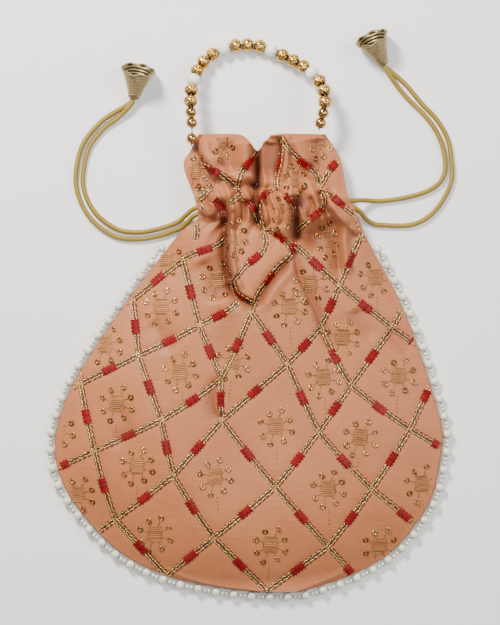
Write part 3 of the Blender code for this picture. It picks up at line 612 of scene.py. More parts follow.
# Folds of the gathered neck, the ruffle and the body: route, depth, half widths left and right of
# the way it runs, rolls beside it, overlap, and how much shade is painted into the silk's colour
# along it. Most run downwards, so left is towards +X.
FOLDS = (
    # neck
    dict(route=((-13.0, 66.8), (-12.6, 53.1), (-12.8, 39.9), (-12.0, 30.0), (-10.0, 20.6),
                (-6.6, 10.7)), depth=7.0, left=1.8, right=4.2, left_lip=3.4, step=3.0,
         sharp=1.2, ends=(0.15, 0.25), painted_shade_strength=0.9),
    dict(route=((-9.6, 22.0), (-6.9, 13.2), (-2.4, 9.9), (4.2, 6.2)), depth=3.4, left=1.8,
         right=3.4, left_lip=2.0, step=1.6, sharp=1.2, painted_shade_strength=0.7),
    dict(route=((24.2, 33.8), (16.5, 26.1), (9.4, 17.3), (2.2, 4.7)), depth=4.2, left=2.6,
         right=2.0, left_lip=1.2, step=1.6, sharp=1.2, painted_shade_strength=0.8),
    dict(route=((24.2, 38.6), (26.7, 24.5), (31.4, 13.8), (36.7, 3.1), (41.2, -9.6),
                (47.9, -23.4)), depth=2.2, left=3.4, right=2.0, sharp=1.1, step=-1.6,
         ends=(0.05, 0.3), painted_shade_strength=0.55),
    dict(route=((3.9, 76.0), (4.2, 65.2), (5.4, 55.3), (7.6, 47.0)), depth=7.0, left=1.8,
         right=2.2, left_lip=1.8, step=2.0, sharp=1.2, ends=(0.1, 0.2), painted_shade_strength=0.9),
    dict(route=((24.2, 69.6), (25.3, 59.7), (25.1, 49.8), (25.3, 41.5)), depth=9.0, left=4.0,
         right=2.0, right_lip=2.2, step=-3.0, sharp=1.2, painted_shade_strength=1.0),
    dict(route=((40.2, 62.4), (45.7, 56.1), (48.1, 48.7), (48.1, 41.5), (49.2, 31.1),
                (49.8, 20.1)), depth=4.6, left=2.4, right=5.0, left_lip=2.8, sharp=1.3,
         painted_shade_strength=0.45),
    dict(route=((31.0, 53.0), (36.0, 45.0), (41.0, 36.0)), depth=6.0, left=7.0, right=7.0,
         ends=(0.5, 0.5), sharp=2.0, painted_shade_strength=0.75),
    dict(route=((41.8, 63.5), (50.5, 55.0), (60.5, 45.5)), depth=-3.6, left=3.4, right=3.4),
    dict(route=((17.0, 74.0), (18.6, 62.0), (17.6, 52.0), (14.0, 45.0)), depth=-5.0, left=5.0,
         right=5.0, sharp=2.0),
    dict(route=((-3.3, 66.8), (-3.0, 60.2), (-4.1, 52.7)), depth=4.4, left=1.5, right=2.2,
         left_lip=1.0, sharp=1.2, painted_shade_strength=0.6),
    dict(route=((-0.6, 66.5), (1.4, 59.5), (3.6, 51.2)), depth=3.6, left=1.4, right=1.8,
         sharp=1.2, painted_shade_strength=0.5),
    dict(route=((-16.5, 66.7), (-14.4, 60.2), (-13.4, 51.6)), depth=4.2, left=1.5, right=1.8,
         right_lip=1.0, sharp=1.2, painted_shade_strength=0.6),
    dict(route=((-9.9, 62.0), (-8.4, 67.3), (-5.3, 71.0)), depth=3.4, left=1.4, right=1.6,
         sharp=1.2, painted_shade_strength=0.5),
    dict(route=((-9.4, 60.5), (-7.6, 54.0), (-8.2, 47.0)), depth=2.6, left=1.4, right=2.2,
         sharp=1.2, painted_shade_strength=0.4),
    dict(route=((-24.2, 69.4), (-21.4, 61.3), (-19.2, 52.7)), depth=3.8, left=1.5, right=2.0,
         right_lip=1.2, sharp=1.2, painted_shade_strength=0.6),
    dict(route=((-27.6, 66.0), (-25.4, 58.5), (-23.6, 51.0)), depth=2.4, left=1.4, right=1.6,
         sharp=1.2, painted_shade_strength=0.5),
    dict(route=((33.0, 68.4), (34.7, 61.8), (31.8, 54.1)), depth=3.6, left=1.6, right=2.0,
         left_lip=1.2, sharp=1.2, painted_shade_strength=0.5),
    dict(route=((38.0, 71.7), (41.2, 63.0), (44.6, 57.0)), depth=4.0, left=1.6, right=2.2,
         left_lip=1.0, sharp=1.2, painted_shade_strength=0.6),
    dict(route=((28.6, 72.0), (29.6, 66.0), (27.8, 59.5)), depth=3.4, left=1.6, right=1.6,
         sharp=1.2, painted_shade_strength=0.5),
    dict(route=((10.8, 74.5), (9.4, 66.2), (9.0, 60.5)), depth=2.6, left=1.4, right=1.6,
         sharp=1.2, painted_shade_strength=0.3),
    dict(route=((52.8, 53.1), (55.6, 47.6), (60.0, 44.3)), depth=2.0, left=2.0, right=2.4,
         painted_shade_strength=0.3),
    # ruffle
    dict(route=((4.5, 95.6), (4.7, 84.7), (4.8, 76.0), (4.0, 70.6)), depth=9.0, left=1.7,
         right=2.0, ends=(0.02, 0.15), sharp=1.2, painted_shade_strength=1.0),
    dict(route=((-28.9, 97.5), (-27.5, 90.5), (-23.4, 83.9), (-19.8, 76.5), (-15.4, 72.3)),
         depth=2.4, left=1.6, right=3.0, left_lip=1.8, step=4.2, sharp=1.2, ends=(0.05, 0.25),
         painted_shade_strength=0.6),
    dict(route=((-19.8, 77.3), (-12.7, 75.1), (-6.6, 70.7)), depth=3.0, left=2.2, right=1.6,
         left_lip=1.4, sharp=1.2, painted_shade_strength=0.6),
    dict(route=((3.4, 72.7), (-1.1, 73.9), (-6.6, 70.7)), depth=2.6, left=1.6, right=2.2,
         right_lip=1.0, sharp=1.2, painted_shade_strength=0.5),
    dict(route=((19.8, 98.5), (23.1, 89.4), (28.1, 81.7), (33.0, 75.6), (38.0, 70.7)),
         depth=1.6, left=2.4, right=2.0, left_lip=1.6, ends=(0.1, 0.3), painted_shade_strength=0.3),
    dict(route=((17.9, 100.5), (17.9, 94.3), (17.4, 87.2), (16.0, 81.1), (15.0, 74.0)),
         depth=2.6, left=1.8, right=4.0, left_lip=1.8, step=3.6, sharp=1.2, ends=(0.02, 0.25),
         painted_shade_strength=0.45),
    dict(route=((11.0, 97.0), (10.4, 87.0), (10.0, 78.0)), depth=2.4, left=4.5, right=4.5,
         sharp=2.0, ends=(0.05, 0.3), painted_shade_strength=0.5),
    dict(route=((37.4, 99.0), (39.0, 88.2), (39.2, 77.4)), depth=2.6, left=3.6, right=4.4,
         ends=(0.05, 0.3), painted_shade_strength=0.35),
    dict(route=((-12.0, 99.0), (-11.0, 90.0), (-9.0, 79.0)), depth=2.6, left=4.6, right=4.6,
         sharp=1.6, ends=(0.3, 0.3), painted_shade_strength=0.3),
    dict(route=((-20.0, 99.0), (-18.5, 90.0), (-15.5, 82.0)), depth=-2.4, left=4.0, right=4.0,
         sharp=2.0, ends=(0.05, 0.4)),
    dict(route=((-2.0, 97.0), (-2.0, 88.0), (-2.5, 80.0)), depth=-3.0, left=4.0, right=4.0,
         sharp=2.0, ends=(0.05, 0.4)),
    dict(route=((28.0, 99.0), (30.0, 90.0), (33.0, 82.0)), depth=-2.8, left=5.0, right=5.0,
         sharp=2.0, ends=(0.05, 0.4)),
    # body
    dict(route=((-15.1, -32.2), (-19.0, -38.2), (-20.4, -45.9), (-18.4, -52.5),
                (-14.9, -55.8)), depth=2.0, left=1.8, right=2.6, left_lip=0.9, step=1.1,
         sharp=1.2, painted_shade_strength=0.5),
    dict(route=((-27.5, 33.1), (-19.7, 21.0), (-15.3, 8.2)), depth=3.4, left=6.0, right=6.0,
         painted_shade_strength=0.35),
    dict(route=((-11.0, 6.0), (-14.0, -10.0), (-16.0, -28.0)), depth=1.8, left=6.0, right=6.0,
         painted_shade_strength=0.15),
    dict(route=((58.3, 6.3), (62.7, -3.6), (67.7, -12.4)), depth=2.2, left=4.5, right=5.5,
         painted_shade_strength=0.25),
    dict(route=((76.5, -6.3), (83.6, -11.8), (90.2, -15.1)), depth=2.4, left=5.0, right=5.0,
         painted_shade_strength=0.2),
    dict(route=((-54.5, -0.8), (-46.2, -11.8), (-42.4, -18.4)), depth=1.8, left=5.0,
         right=5.0, painted_shade_strength=0.2),
    dict(route=((-72.1, -47.0), (-67.7, -60.2), (-75.4, -69.6)), depth=1.4, left=4.0,
         right=4.0, painted_shade_strength=0.15),
)


class Heights:
    """Heights of one sheet over the plan, looked up between the points of a fine net."""

    def __init__(self, z, shade):
        self.z = z
        self.shade = shade
        self.rise_y, self.rise_x = np.gradient(z, NET_STEP)

    def read(self, field, x, y):
        fx = np.clip((np.asarray(x) - NET_X[0]) / NET_STEP, 0, len(NET_X) - 1.001)
        fy = np.clip((np.asarray(y) - NET_Y[0]) / NET_STEP, 0, len(NET_Y) - 1.001)
        ix, iy = fx.astype(int), fy.astype(int)
        tx, ty = fx - ix, fy - iy
        low = field[iy, ix] * (1.0 - tx) + field[iy, ix + 1] * tx
        high = field[iy + 1, ix] * (1.0 - tx) + field[iy + 1, ix + 1] * tx
        return low * (1.0 - ty) + high * ty

    def height(self, x, y):
        return self.read(self.z, x, y)

    def normal(self, x, y):
        n = np.stack([-self.read(self.rise_x, x, y), -self.read(self.rise_y, x, y),
                      np.ones(np.shape(x))], axis=-1)
        return n / np.linalg.norm(n, axis=-1, keepdims=True)


# ---------------------------------------------------------------- embroidery plan

# Where the gilt lattice's two sets of lines cross, counted across and down the bag.
CROSSINGS = {
    (4, -4): (61.6, 45.7), (2, -4): (24.4, 41.0), (0, -4): (8.0, 47.7), (-2, -4): (-9.4, 47.0),
    (3, -3): (49.6, 18.2), (1, -3): (23.7, 37.1), (-1, -3): (-8.9, 20.4),
    (-3, -3): (-36.6, 32.6), (5, -3): (93.0, 19.5), (4, -2): (78.8, -5.2),
    (2, -2): (39.3, -4.2), (0, -2): (1.2, 3.6), (-2, -2): (-27.5, -3.8), (-4, -2): (-64.1, 10.6),
    (5, -1): (106.2, -23.9), (3, -1): (55.8, -36.8), (1, -1): (20.8, -25.0),
    (-1, -1): (-15.3, -33.1), (-3, -1): (-60.9, -20.2), (-5, -1): (-96.0, -4.7),
    (4, 0): (88.7, -61.1), (2, 0): (38.0, -62.3), (0, 0): (-15.0, -55.8), (-2, 0): (-48.2, -55.7),
    (-4, 0): (-93.2, -36.0), (5, 1): (120.8, -79.7), (3, 1): (67.5, -93.7), (1, 1): (14.5, -92.4),
    (-1, 1): (-41.7, -86.2), (-3, 1): (-85.2, -72.8), (-5, 1): (-129.8, -53.1),
    (4, 2): (103.4, -122.9), (2, 2): (43.4, -125.6), (0, 2): (-19.5, -120.5),
    (-2, 2): (-73.9, -110.9), (-4, 2): (-121.6, -89.9), (3, 3): (68.8, -154.3),
    (1, 3): (9.8, -150.4), (-1, 3): (-45.4, -141.9), (-3, 3): (-100.7, -130.6),
}
# Sides of the lattice that a fold bends or hides, by their two crossings.
BENT_SIDES = {
    ((0, -4), (1, -3)): ((8.0, 47.7), (11.6, 47.9), (14.9, 46.9), (19.2, 42.9), (23.7, 37.7)),
    ((0, -4), (-1, -3)): ((8.1, 47.6), (8.8, 40.4), (5.0, 34.4), (-1.7, 29.2), (-5.8, 24.5),
                          (-8.9, 20.4)),
    ((-1, -3), (0, -2)): ((-8.9, 20.4), (-6.9, 14.6), (-2.8, 11.1), (3.0, 8.0)),
    ((1, -3), (0, -2)): ((23.7, 37.1), (22.0, 33.6), (15.4, 27.8), (10.5, 21.2), (5.2, 13.8),
                         (1.2, 3.6)),
    ((-2, -4), (-3, -3)): ((-36.6, 32.6), (-29.2, 36.0), (-19.0, 39.6), (-12.6, 44.3)),
    ((-1, -3), (-2, -2)): ((-27.5, -3.8), (-20.4, -0.3), (-10.7, 4.8), (-6.2, 8.7)),
    ((-2, -4), (-1, -3)): (),
    ((1, -3), (2, -2)): (),
}
# Sides that show in the gathers and the ruffle: route, and the share along where its bar is.
NECK_SIDES = (
    (((-24.8, 84.4), (-19.5, 81.1), (-14.9, 78.9), (-11.0, 75.6), (-6.6, 71.5)), 0.27),
    (((4.1, 91.0), (0.0, 85.8), (-4.1, 80.6), (-5.8, 76.2), (-6.6, 71.5)), 0.30),
    (((-6.6, 71.0), (-4.4, 68.2), (-7.2, 66.0), (-11.1, 63.0)), None),
    (((-33.6, 71.5), (-28.6, 70.1), (-24.2, 70.7), (-20.0, 73.4)), None),
    (((-20.9, 71.8), (-25.3, 67.4), (-27.8, 64.1), (-25.0, 59.7)), None),
    (((-19.0, 65.7), (-16.5, 62.7), (-14.3, 58.6)), 0.5),
    (((-3.3, 66.3), (0.0, 63.0), (3.3, 58.6), (5.5, 53.1), (8.0, 48.1)), 0.28),
    (((13.2, 71.2), (8.8, 68.5), (6.1, 64.6), (5.5, 58.6), (8.0, 48.1)), 0.24),
    (((19.2, 66.8), (22.0, 64.4), (24.8, 60.8)), 0.5),
    (((17.5, 100.1), (17.9, 94.3), (17.4, 87.2), (16.0, 81.1), (14.9, 75.6), (15.4, 69.0)),
     0.5),
    (((17.5, 100.1), (21.5, 93.2), (28.1, 86.9), (33.0, 83.3), (37.4, 78.7), (39.1, 72.3)),
     0.56),
    (((51.7, 88.8), (47.9, 85.8), (44.6, 82.0), (39.1, 72.9)), 0.3),
    (((38.8, 71.0), (45.1, 67.8), (48.4, 64.6), (54.5, 59.4), (58.0, 56.4), (60.8, 50.9),
      (61.6, 45.7)), 0.36),
    (((39.9, 69.9), (41.5, 63.5), (37.4, 57.5), (31.9, 53.4), (26.0, 48.1)), 0.52),
    (((-29.3, 52.3), (-29.0, 47.6), (-29.4, 42.6)), None),
)
# Middles of the small flowers, one to each lozenge.
FLOWERS = (
    (-48.5, 6.6), (-37.9, -28.9), (-72.7, -46.5), (-9.0, -23.4), (22.0, 6.6), (69.6, 22.8),
    (51.2, -10.2), (82.5, -31.4), (40.7, -32.2), (14.7, -59.1), (61.1, -65.2), (-61.4, -80.8),
    (-18.7, -86.6), (-51.8, -118.5), (-94.6, -97.1), (43.4, -93.2), (95.2, -91.0),
    (11.8, -124.3), (72.1, -125.1), (-17.6, 21.2), (-14.3, 97.0), (39.4, 97.5), (18.2, 58.6),
    (43.0, 43.5), (-105.6, -61.3), (-79.2, -14.6), (-46.2, 33.3), (-105.0, -20.0),
    (25.3, 76.5), (-29.3, 81.1), (-7.2, 44.8), (33.5, 19.0),
)


def lattice_sides():
    """Every side of the lattice: its route in plan and the share along where its bar is."""
    sides = []
    for (s, t), start in CROSSINGS.items():
        for turn in (1, -1):
            other = (s + turn, t + 1)
            key = ((s, t), other)
            if key in BENT_SIDES:
                if BENT_SIDES[key]:
                    sides.append((BENT_SIDES[key], 0.5))
                continue
            if other not in CROSSINGS:
                continue
            end = CROSSINGS[other]
            before = CROSSINGS.get((s - turn, t - 1))
            after = CROSSINGS.get((s + 2 * turn, t + 2))
            bow = np.zeros(2)
            middle = (np.array(start) + np.array(end)) / 2.0
            if before and after:
                bow = (middle - (np.array(before) + np.array(after)) / 2.0) / 16.0
                bow = np.clip(bow, -2.0, 2.0)
            sides.append(((start, tuple(middle + bow), end), 0.5))
    return sides


def inside_cloth(x, y, margin):
    """True where a place is on the cloth, at least margin from its edge."""
    middle, half = middle_and_half(y)
    on = (np.abs(x - middle) < half - margin) & (y > BOTTOM_Y + 0.4 * margin)
    return on & (y < MOUTH_Y - margin - notch(x, np.full(np.shape(x), MOUTH_Y)))


SIDES = lattice_sides() + list(NECK_SIDES)

# painted shade of the creases, gathered over the plan by each fold
painted_crease_shade = np.zeros(PLAN_X.shape)

# Heights of the front: plain fill, soft waves, gathers, folds, and a pucker along each side.
front_z = front_plain(PLAN_X, PLAN_Y)
u_net = across(PLAN_X, PLAN_Y)
inner = np.maximum(0.0, 1.0 - u_net ** 4)
waves = (0.55 * np.sin(PLAN_X / 17.0 + PLAN_Y / 31.0 + 0.4)
         + 0.45 * np.sin(PLAN_Y / 19.0 - PLAN_X / 23.0 + 1.9)
         + 0.25 * np.sin(PLAN_X / 8.0 + PLAN_Y / 11.0 + 0.8))
front_z += 1.2 * waves * inner * filled(PLAN_Y)
gather = np.exp(-((PLAN_Y - CASING_Y) / 17.0) ** 2)
phase = 5.6 * u_net + 0.22 * np.sin(4.1 * u_net + 0.6) + 0.15 * np.sin(9.0 * u_net)
front_z += 1.5 * gather * np.cos(math.tau * phase) * inner
fine = np.exp(-((PLAN_Y - CASING_Y) / 9.0) ** 2)
front_z += 0.5 * fine * np.cos(math.tau * (12.3 * u_net + 0.5 * np.sin(5.0 * u_net))) * inner
# each fold also paints shade into the silk's colour along it
for fold in FOLDS:
    crease(front_z, **fold)
for route, _ in SIDES:
    crease(front_z, route, 0.55, 2.4, 2.4, ends=(0.02, 0.02), sharp=1.6)
back_z = back_plain(PLAN_X, PLAN_Y)
room = np.where(np.abs(u_net) < 0.999, 2.6 + 7.6 * casing(PLAN_Y) * (1.0 - u_net ** 4), 0.0)
room *= np.minimum(1.0, 6.0 * (1.0 - np.abs(u_net)))
lowest = back_z + CLOTH + room
front_z = np.where(front_z < lowest + 1.5, lowest + 1.5 * np.exp((front_z - lowest) / 1.5 - 1.0),
                   front_z)
for node, route in STRANDS.items():
    for x, y, z in smooth_curve(route[:4], 4):
        top = z + CORD_R + CLOTH + 0.5
        over = np.hypot(PLAN_X - x, PLAN_Y - y)
        hood = top - 6.0 * fade(over, 1.8, 6.0)
        if node.endswith("upper"):
            front_z = np.where(over < 6.0, np.maximum(front_z, hood), front_z)
# the front carries the painted crease shade; the back has none
front = Heights(front_z, np.clip(painted_crease_shade, 0.0, 1.0))
back = Heights(back_z - CLOTH, np.zeros(back_z.shape))


# ---------------------------------------------------------------- cloth pieces

def cloth_rows():
    bottom = [WIDEST_Y - (WIDEST_Y - BOTTOM_Y) * math.cos(math.pi / 2.0 * i / 42) for i in range(42)]
    body = np.linspace(WIDEST_Y, 0.0, 36, endpoint=False)
    top = np.linspace(0.0, MOUTH_Y, 142)
    return np.concatenate((bottom, body, top))


def cloth_sheet(name, heights, rows, columns, thickness, finish):
    """A sheet laid over the heights between the cloth's edges, with its own thickness."""
    share = np.linspace(-1.0, 1.0, columns + 1)
    points = []
    for row in rows:
        middle, half = middle_and_half(row)
        x = middle + half * share
        y = row - notch(x, row)
        points.append(np.stack([x, y, heights.height(x, y)], axis=1))
    wide = columns + 1
    faces = [(r * wide + c, r * wide + c + 1, (r + 1) * wide + c + 1, (r + 1) * wide + c)
             for r in range(len(rows) - 1) for c in range(columns)]
    points = np.concatenate(points)
    mesh = mesh_of(name, points, faces)
    # painted shade of the creases, stored on the silk as its fold attribute
    shade = mesh.attributes.new("fold", "FLOAT", "POINT")
    shade.data.foreach_set("value", heights.read(heights.shade, points[:, 0], points[:, 1]))
    piece = add_piece(name, mesh, finish)
    give_thickness(piece, thickness)
    return piece


def give_thickness(piece, thickness):
    bare()
    piece.select_set(True)
    bpy.context.view_layer.objects.active = piece
    wall = piece.modifiers.new("thickness", "SOLIDIFY")
    wall.thickness = thickness * MM
    wall.offset = -1.0
    wall.use_rim = True
    bpy.ops.object.modifier_apply(modifier=wall.name)


def bare():
    """Object mode with nothing selected, before the next piece is worked on."""
    if bpy.context.object and bpy.context.object.mode != "OBJECT":
        bpy.ops.object.mode_set(mode="OBJECT")
    bpy.ops.object.select_all(action="DESELECT")


front_panel = cloth_sheet("silk_front", front, cloth_rows(), 170, CLOTH, silk)
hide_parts("front_panel")
back_panel = cloth_sheet("silk_back", back, cloth_rows()[::2], 84, -CLOTH, silk)
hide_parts("back_panel")


# ---------------------------------------------------------------- small modelled shapes

def ball(name, segments, rings, size):
    """A ball of the given half sizes, in mm, at the origin."""
    bare()
    bpy.ops.mesh.primitive_uv_sphere_add(segments=segments, ring_count=rings, radius=1.0)
    piece = bpy.context.object
    piece.name = name
    piece.scale = size
    bpy.ops.object.transform_apply(location=False, rotation=False, scale=True)
    return piece


def put_away(*masters):
    for master in masters:
        bpy.data.objects.remove(master, do_unlink=True)


# One stitch is a plump grain, 1 mm long and as wide and high as its frame says.
stitch = ball("stitch", 6, 5, (0.5, 0.5, 0.5))
stitch.data.transform(Matrix.Rotation(math.pi / 2.0, 4, "Y"))
plain_stitch = ball("plain_stitch", 4, 4, (0.5, 0.5, 0.5))
plain_stitch.data.transform(Matrix.Rotation(math.pi / 2.0, 4, "Y"))


def frames_on(heights, x, y, angle, length, width, height, lift, down=False):
    """Frames on a sheet: at x and y, turned to the angle in plan, lifted off the cloth."""
    x, y, angle = np.broadcast_arrays(np.asarray(x, float), np.asarray(y, float),
                                      np.asarray(angle, float))
    n = heights.normal(x, y)
    z = heights.height(x, y)
    slope = heights.read(heights.rise_x, x, y) * np.cos(angle)
    slope = slope + heights.read(heights.rise_y, x, y) * np.sin(angle)
    t = np.stack([np.cos(angle), np.sin(angle), slope], axis=-1)
    t /= np.linalg.norm(t, axis=-1, keepdims=True)
    b = np.cross(n, t)
    out = -1.0 if down else 1.0
    place = np.stack([x, y, z], axis=-1) + n * out * np.asarray(lift)[..., None]
    frame_set = np.empty((len(x), 3, 4))
    frame_set[:, :, 0] = t * np.reshape(np.broadcast_to(length, x.shape), (-1, 1))
    frame_set[:, :, 1] = b * np.reshape(np.broadcast_to(width, x.shape), (-1, 1))
    frame_set[:, :, 2] = n * np.reshape(np.broadcast_to(height, x.shape), (-1, 1))
    frame_set[:, :, 3] = place
    return frame_set


def side_line(route, step):
    """Places and headings along a side of the lattice."""
    dense = smooth_curve(route, 10)
    total = lengths_along(dense)[-1]
    places = points_at(dense, np.arange(step / 2.0, total, step))
    if len(places) < 2:
        return places, np.zeros(len(places)), total
    way = np.gradient(places, axis=0)
    return places, np.arctan2(way[:, 1], way[:, 0]), total


def embroider(heights, sides, flowers, label, master, pitch, down=False):
    """The whole embroidery of one panel: gilt lattice, red bars, and flowers with sequins."""
    pick = np.random.default_rng(7)
    gilt, gilt_tone = [], []
    red, red_tone = [], []
    ground_points, ground_faces = [], []
    for route, bar_at in sides:
        places, angle, total = side_line(route, pitch)
        if len(places) < 2:
            continue
        off_x, off_y = -np.sin(angle), np.cos(angle)
        for row, offset in enumerate((-0.85, 0.85)):
            wander = 0.12 * np.sin(places[:, 0] * 0.9 + places[:, 1] * 0.7 + row * 2.0)
            x = places[:, 0] + off_x * (offset + wander)
            y = places[:, 1] + off_y * (offset + wander)
            keep = inside_cloth(x, y, 1.2)
            lean = np.where(np.arange(len(x)) % 2 == 0, 0.34, -0.30)
            made = frames_on(heights, x[keep], y[keep], (angle + lean)[keep],
                             1.45 * pitch, 0.82, 0.7, 0.24, down)
            gilt.append(made)
            gilt_tone.append(np.clip(0.62 + 0.3 * np.sin(np.arange(keep.sum()) * 2.4 + row)
                                     + pick.normal(0.0, 0.16, keep.sum()), 0.0, 1.0))
        # thin red running stitch beside the gilt rows
        x = places[:, 0] + off_x * 1.75
        y = places[:, 1] + off_y * 1.75
        keep = inside_cloth(x, y, 1.2) & (np.arange(len(x)) % 2 == 0)
        red.append(frames_on(heights, x[keep], y[keep], angle[keep], 2.4, 0.42, 0.4, 0.08,
                             down))
        red_tone.append(np.full(keep.sum(), 0.1))
        # maroon ground
        along, heading, _ = side_line(route, 1.2)
        keep = inside_cloth(along[:, 0], along[:, 1], 2.0)
        out = -1.0 if down else 1.0
        last = None
        for i in range(len(along)):
            if not keep[i]:
                last = None
                continue
            start = len(ground_points)
            for offset in (-1.45, 0.0, 1.45):
                px = along[i, 0] - math.sin(heading[i]) * offset
                py = along[i, 1] + math.cos(heading[i]) * offset
                pz = float(heights.height(px, py)) + 0.12 * out
                ground_points.append((px, py, pz))
            if last is not None:
                ground_faces += [(last, last + 1, start + 1, start),
                                 (last + 1, last + 2, start + 2, start + 1)]
            last = start
        # satin bar: threads laid across the side, every other one longer
        if bar_at is None:
            continue
        half_bar = 3.9
        middle = bar_at * total
        marks = np.arange(middle - half_bar, middle + half_bar, 0.5)
        dense = smooth_curve(route, 10)
        spots = points_at(dense, marks)
        spots_way = points_at(dense, marks + 0.6) - points_at(dense, marks - 0.6)
        turn = np.arctan2(spots_way[:, 1], spots_way[:, 0])
        keep = inside_cloth(spots[:, 0], spots[:, 1], 2.4)
        number = np.arange(len(marks))
        reach = 4.1 + 1.7 * np.abs((number % 4) / 2.0 - 1.0) + pick.normal(0.0, 0.12, len(marks))
        red.append(frames_on(heights, spots[keep, 0], spots[keep, 1],
                             turn[keep] + math.pi / 2.0 + pick.normal(0.0, 0.03, keep.sum()),
                             reach[keep], 0.72, 0.9, 0.5, down))
        red_tone.append(np.clip(0.55 + pick.normal(0.0, 0.25, keep.sum()), 0.0, 1.0))
    lattice = copies("zari_lattice_" + label, master, np.concatenate(gilt),
                     np.concatenate(gilt_tone), zari)
    bars = copies("satin_bars_" + label, master, np.concatenate(red),
                  np.concatenate(red_tone), red_rayon)
    ground = add_piece("maroon_filling_" + label,
                       mesh_of("maroon_filling_" + label, ground_points, ground_faces), maroon)
    # flowers
    threads, thread_tone, sequins, sequin_tone = [], [], [], []
    for number, (fx, fy) in enumerate(flowers):
        lean = 0.10 * math.sin(number * 1.7)
        squash = 0.62 if fy > 40.0 else 1.0
        cos, sin = math.cos(lean), math.sin(lean)
        pieces = [(0.0, 3.6 - 1.02 * k, 0.0, 7.6 - 0.5 * (k % 2)) for k in range(8)]
        pieces += [(-3.8, 0.0, math.pi / 2.0, 7.4), (3.8, 0.0, math.pi / 2.0, 7.4),
                   (0.0, -4.2, 0.0, 7.8), (0.0, 4.2, 0.0, 7.8)]
        tips = ((-3.3, 6.9), (3.6, 8.8), (7.7, 3.3), (8.6, -3.3), (4.0, -8.1), (-3.3, -9.9),
                (-7.2, -5.0), (-8.0, 2.4))
        for tx, ty in tips:
            reach = math.hypot(tx, ty)
            tilt = math.atan2(ty, tx)
            for share, size in ((0.50, 2.3), (0.68, 1.9)):
                pieces.append((tx * share, ty * share, tilt, size))
        pieces += [(0.0, -11.6 - 2.0 * k, math.pi / 2.0, 1.3) for k in range(5)]
        px = np.array([p[0] for p in pieces]) * squash
        py = np.array([p[1] for p in pieces])
        turn = np.array([p[2] for p in pieces]) + lean
        size = np.array([p[3] for p in pieces])
        x, y = fx + px * cos - py * sin, fy + px * sin + py * cos
        keep = inside_cloth(x, y, 1.8)
        threads.append(frames_on(heights, x[keep], y[keep], turn[keep],
                                 size[keep] * np.where(np.abs(np.cos(turn[keep])) > 0.7,
                                                       squash, 1.0),
                                 0.55, 0.5, 0.14, down))
        thread_tone.append(np.clip(0.5 + pick.normal(0.0, 0.22, keep.sum()), 0.0, 1.0))
        tx, ty = np.array(tips).T
        tx = tx * squash
        x, y = fx + tx * cos - ty * sin, fy + tx * sin + ty * cos
        keep = inside_cloth(x, y, 2.4)
        made = frames_on(heights, x[keep], y[keep], pick.uniform(0.0, math.tau, keep.sum()),
                         1.0, 1.0, 1.0, 0.35, down)
        made = tilted(made, pick, 0.16)
        sequins.append(made)
        sequin_tone.append(pick.uniform(0.1, 1.0, keep.sum()))
    flower_threads = copies("flower_threads_" + label, master, np.concatenate(threads),
                            np.concatenate(thread_tone), gold_thread)
    ring_sequins = copies("ring_sequins_" + label, sequin, np.concatenate(sequins),
                          np.concatenate(sequin_tone), sequin_gilt)
    return [lattice, bars, ground, flower_threads, ring_sequins]


def tilted(frame_set, pick, most):
    """Each frame leans a little its own way about its own place."""
    for frame_one in frame_set:
        axes = Matrix(frame_one[:, :3].tolist())
        lean = Matrix.Rotation(pick.normal(0.0, most), 3, "X") @ Matrix.Rotation(
            pick.normal(0.0, most), 3, "Y")
        frame_one[:, :3] = np.array(axes @ lean)
    return frame_set


# A ring sequin: 3.5 mm across, with a 1.5 mm hole.
bare()
bpy.ops.mesh.primitive_torus_add(major_segments=12, minor_segments=4, major_radius=1.22,
                                 minor_radius=0.5)
sequin = bpy.context.object
sequin.scale = (1.0, 1.0, 0.28)
bpy.ops.object.transform_apply(location=False, rotation=False, scale=True)

front_stitching = embroider(front, SIDES, FLOWERS, "front", stitch, 1.5)
mirrored_sides = [([(-x, y) for x, y in route], bar) for route, bar in lattice_sides()]
mirrored_flowers = [(-x, y) for x, y in FLOWERS if y < 50.0]
back_stitching = embroider(back, mirrored_sides, mirrored_flowers, "back", plain_stitch, 2.4,
                           down=True)


# ---------------------------------------------------------------- lining and casing

def lining_pouch():
    """The inner pouch, two layers just inside the shell, joined round their edge."""
    rows = np.linspace(BOTTOM_Y + 9.0, MOUTH_Y - 4.0, 110)
    share = np.linspace(-1.0, 1.0, 61)
    upper, lower = [], []
    for row in rows:
        middle, half = middle_and_half(row)
        near_bottom = 1.0 - (1.0 - np.clip((row - BOTTOM_Y - 6.0) / 50.0, 0.0, 1.0)) ** 3
        inset = 5.0 + 4.0 * float(casing(row)) + 10.0 * (1.0 - near_bottom)
        x = middle + max(half - inset, 4.0) * share
        y = row - notch(x, row)
        gap = 0.9 + 3.4 * float(casing(row))
        top = front.height(x, y) - CLOTH - gap - 0.6
        low = back.height(x, y) + CLOTH + gap + 0.3
        level = (top + low) / 2.0
        spread = np.sqrt(np.maximum(0.0, 1.0 - share ** 8))
        half_gap = np.maximum((top - low) / 2.0, 0.45) * spread
        upper.append(np.stack([x, y, level + half_gap], axis=1))
        lower.append(np.stack([x, y, level - half_gap], axis=1))
    loops = [np.concatenate((a, b[-2:0:-1])) for a, b in zip(upper, lower)]
    size = len(loops[0])
    faces = [tuple(range(size))]
    for r in range(len(loops) - 1):
        for i in range(size):
            j = (i + 1) % size
            faces.append((r * size + i, r * size + j, (r + 1) * size + j, (r + 1) * size + i))
    mesh = mesh_of("lining", np.concatenate(loops), faces)
    piece = add_piece("lining", mesh, lining_cloth)
    face_outwards(piece)
    give_thickness(piece, 0.3)
    return piece


lining = lining_pouch()
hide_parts("lining_pouch")


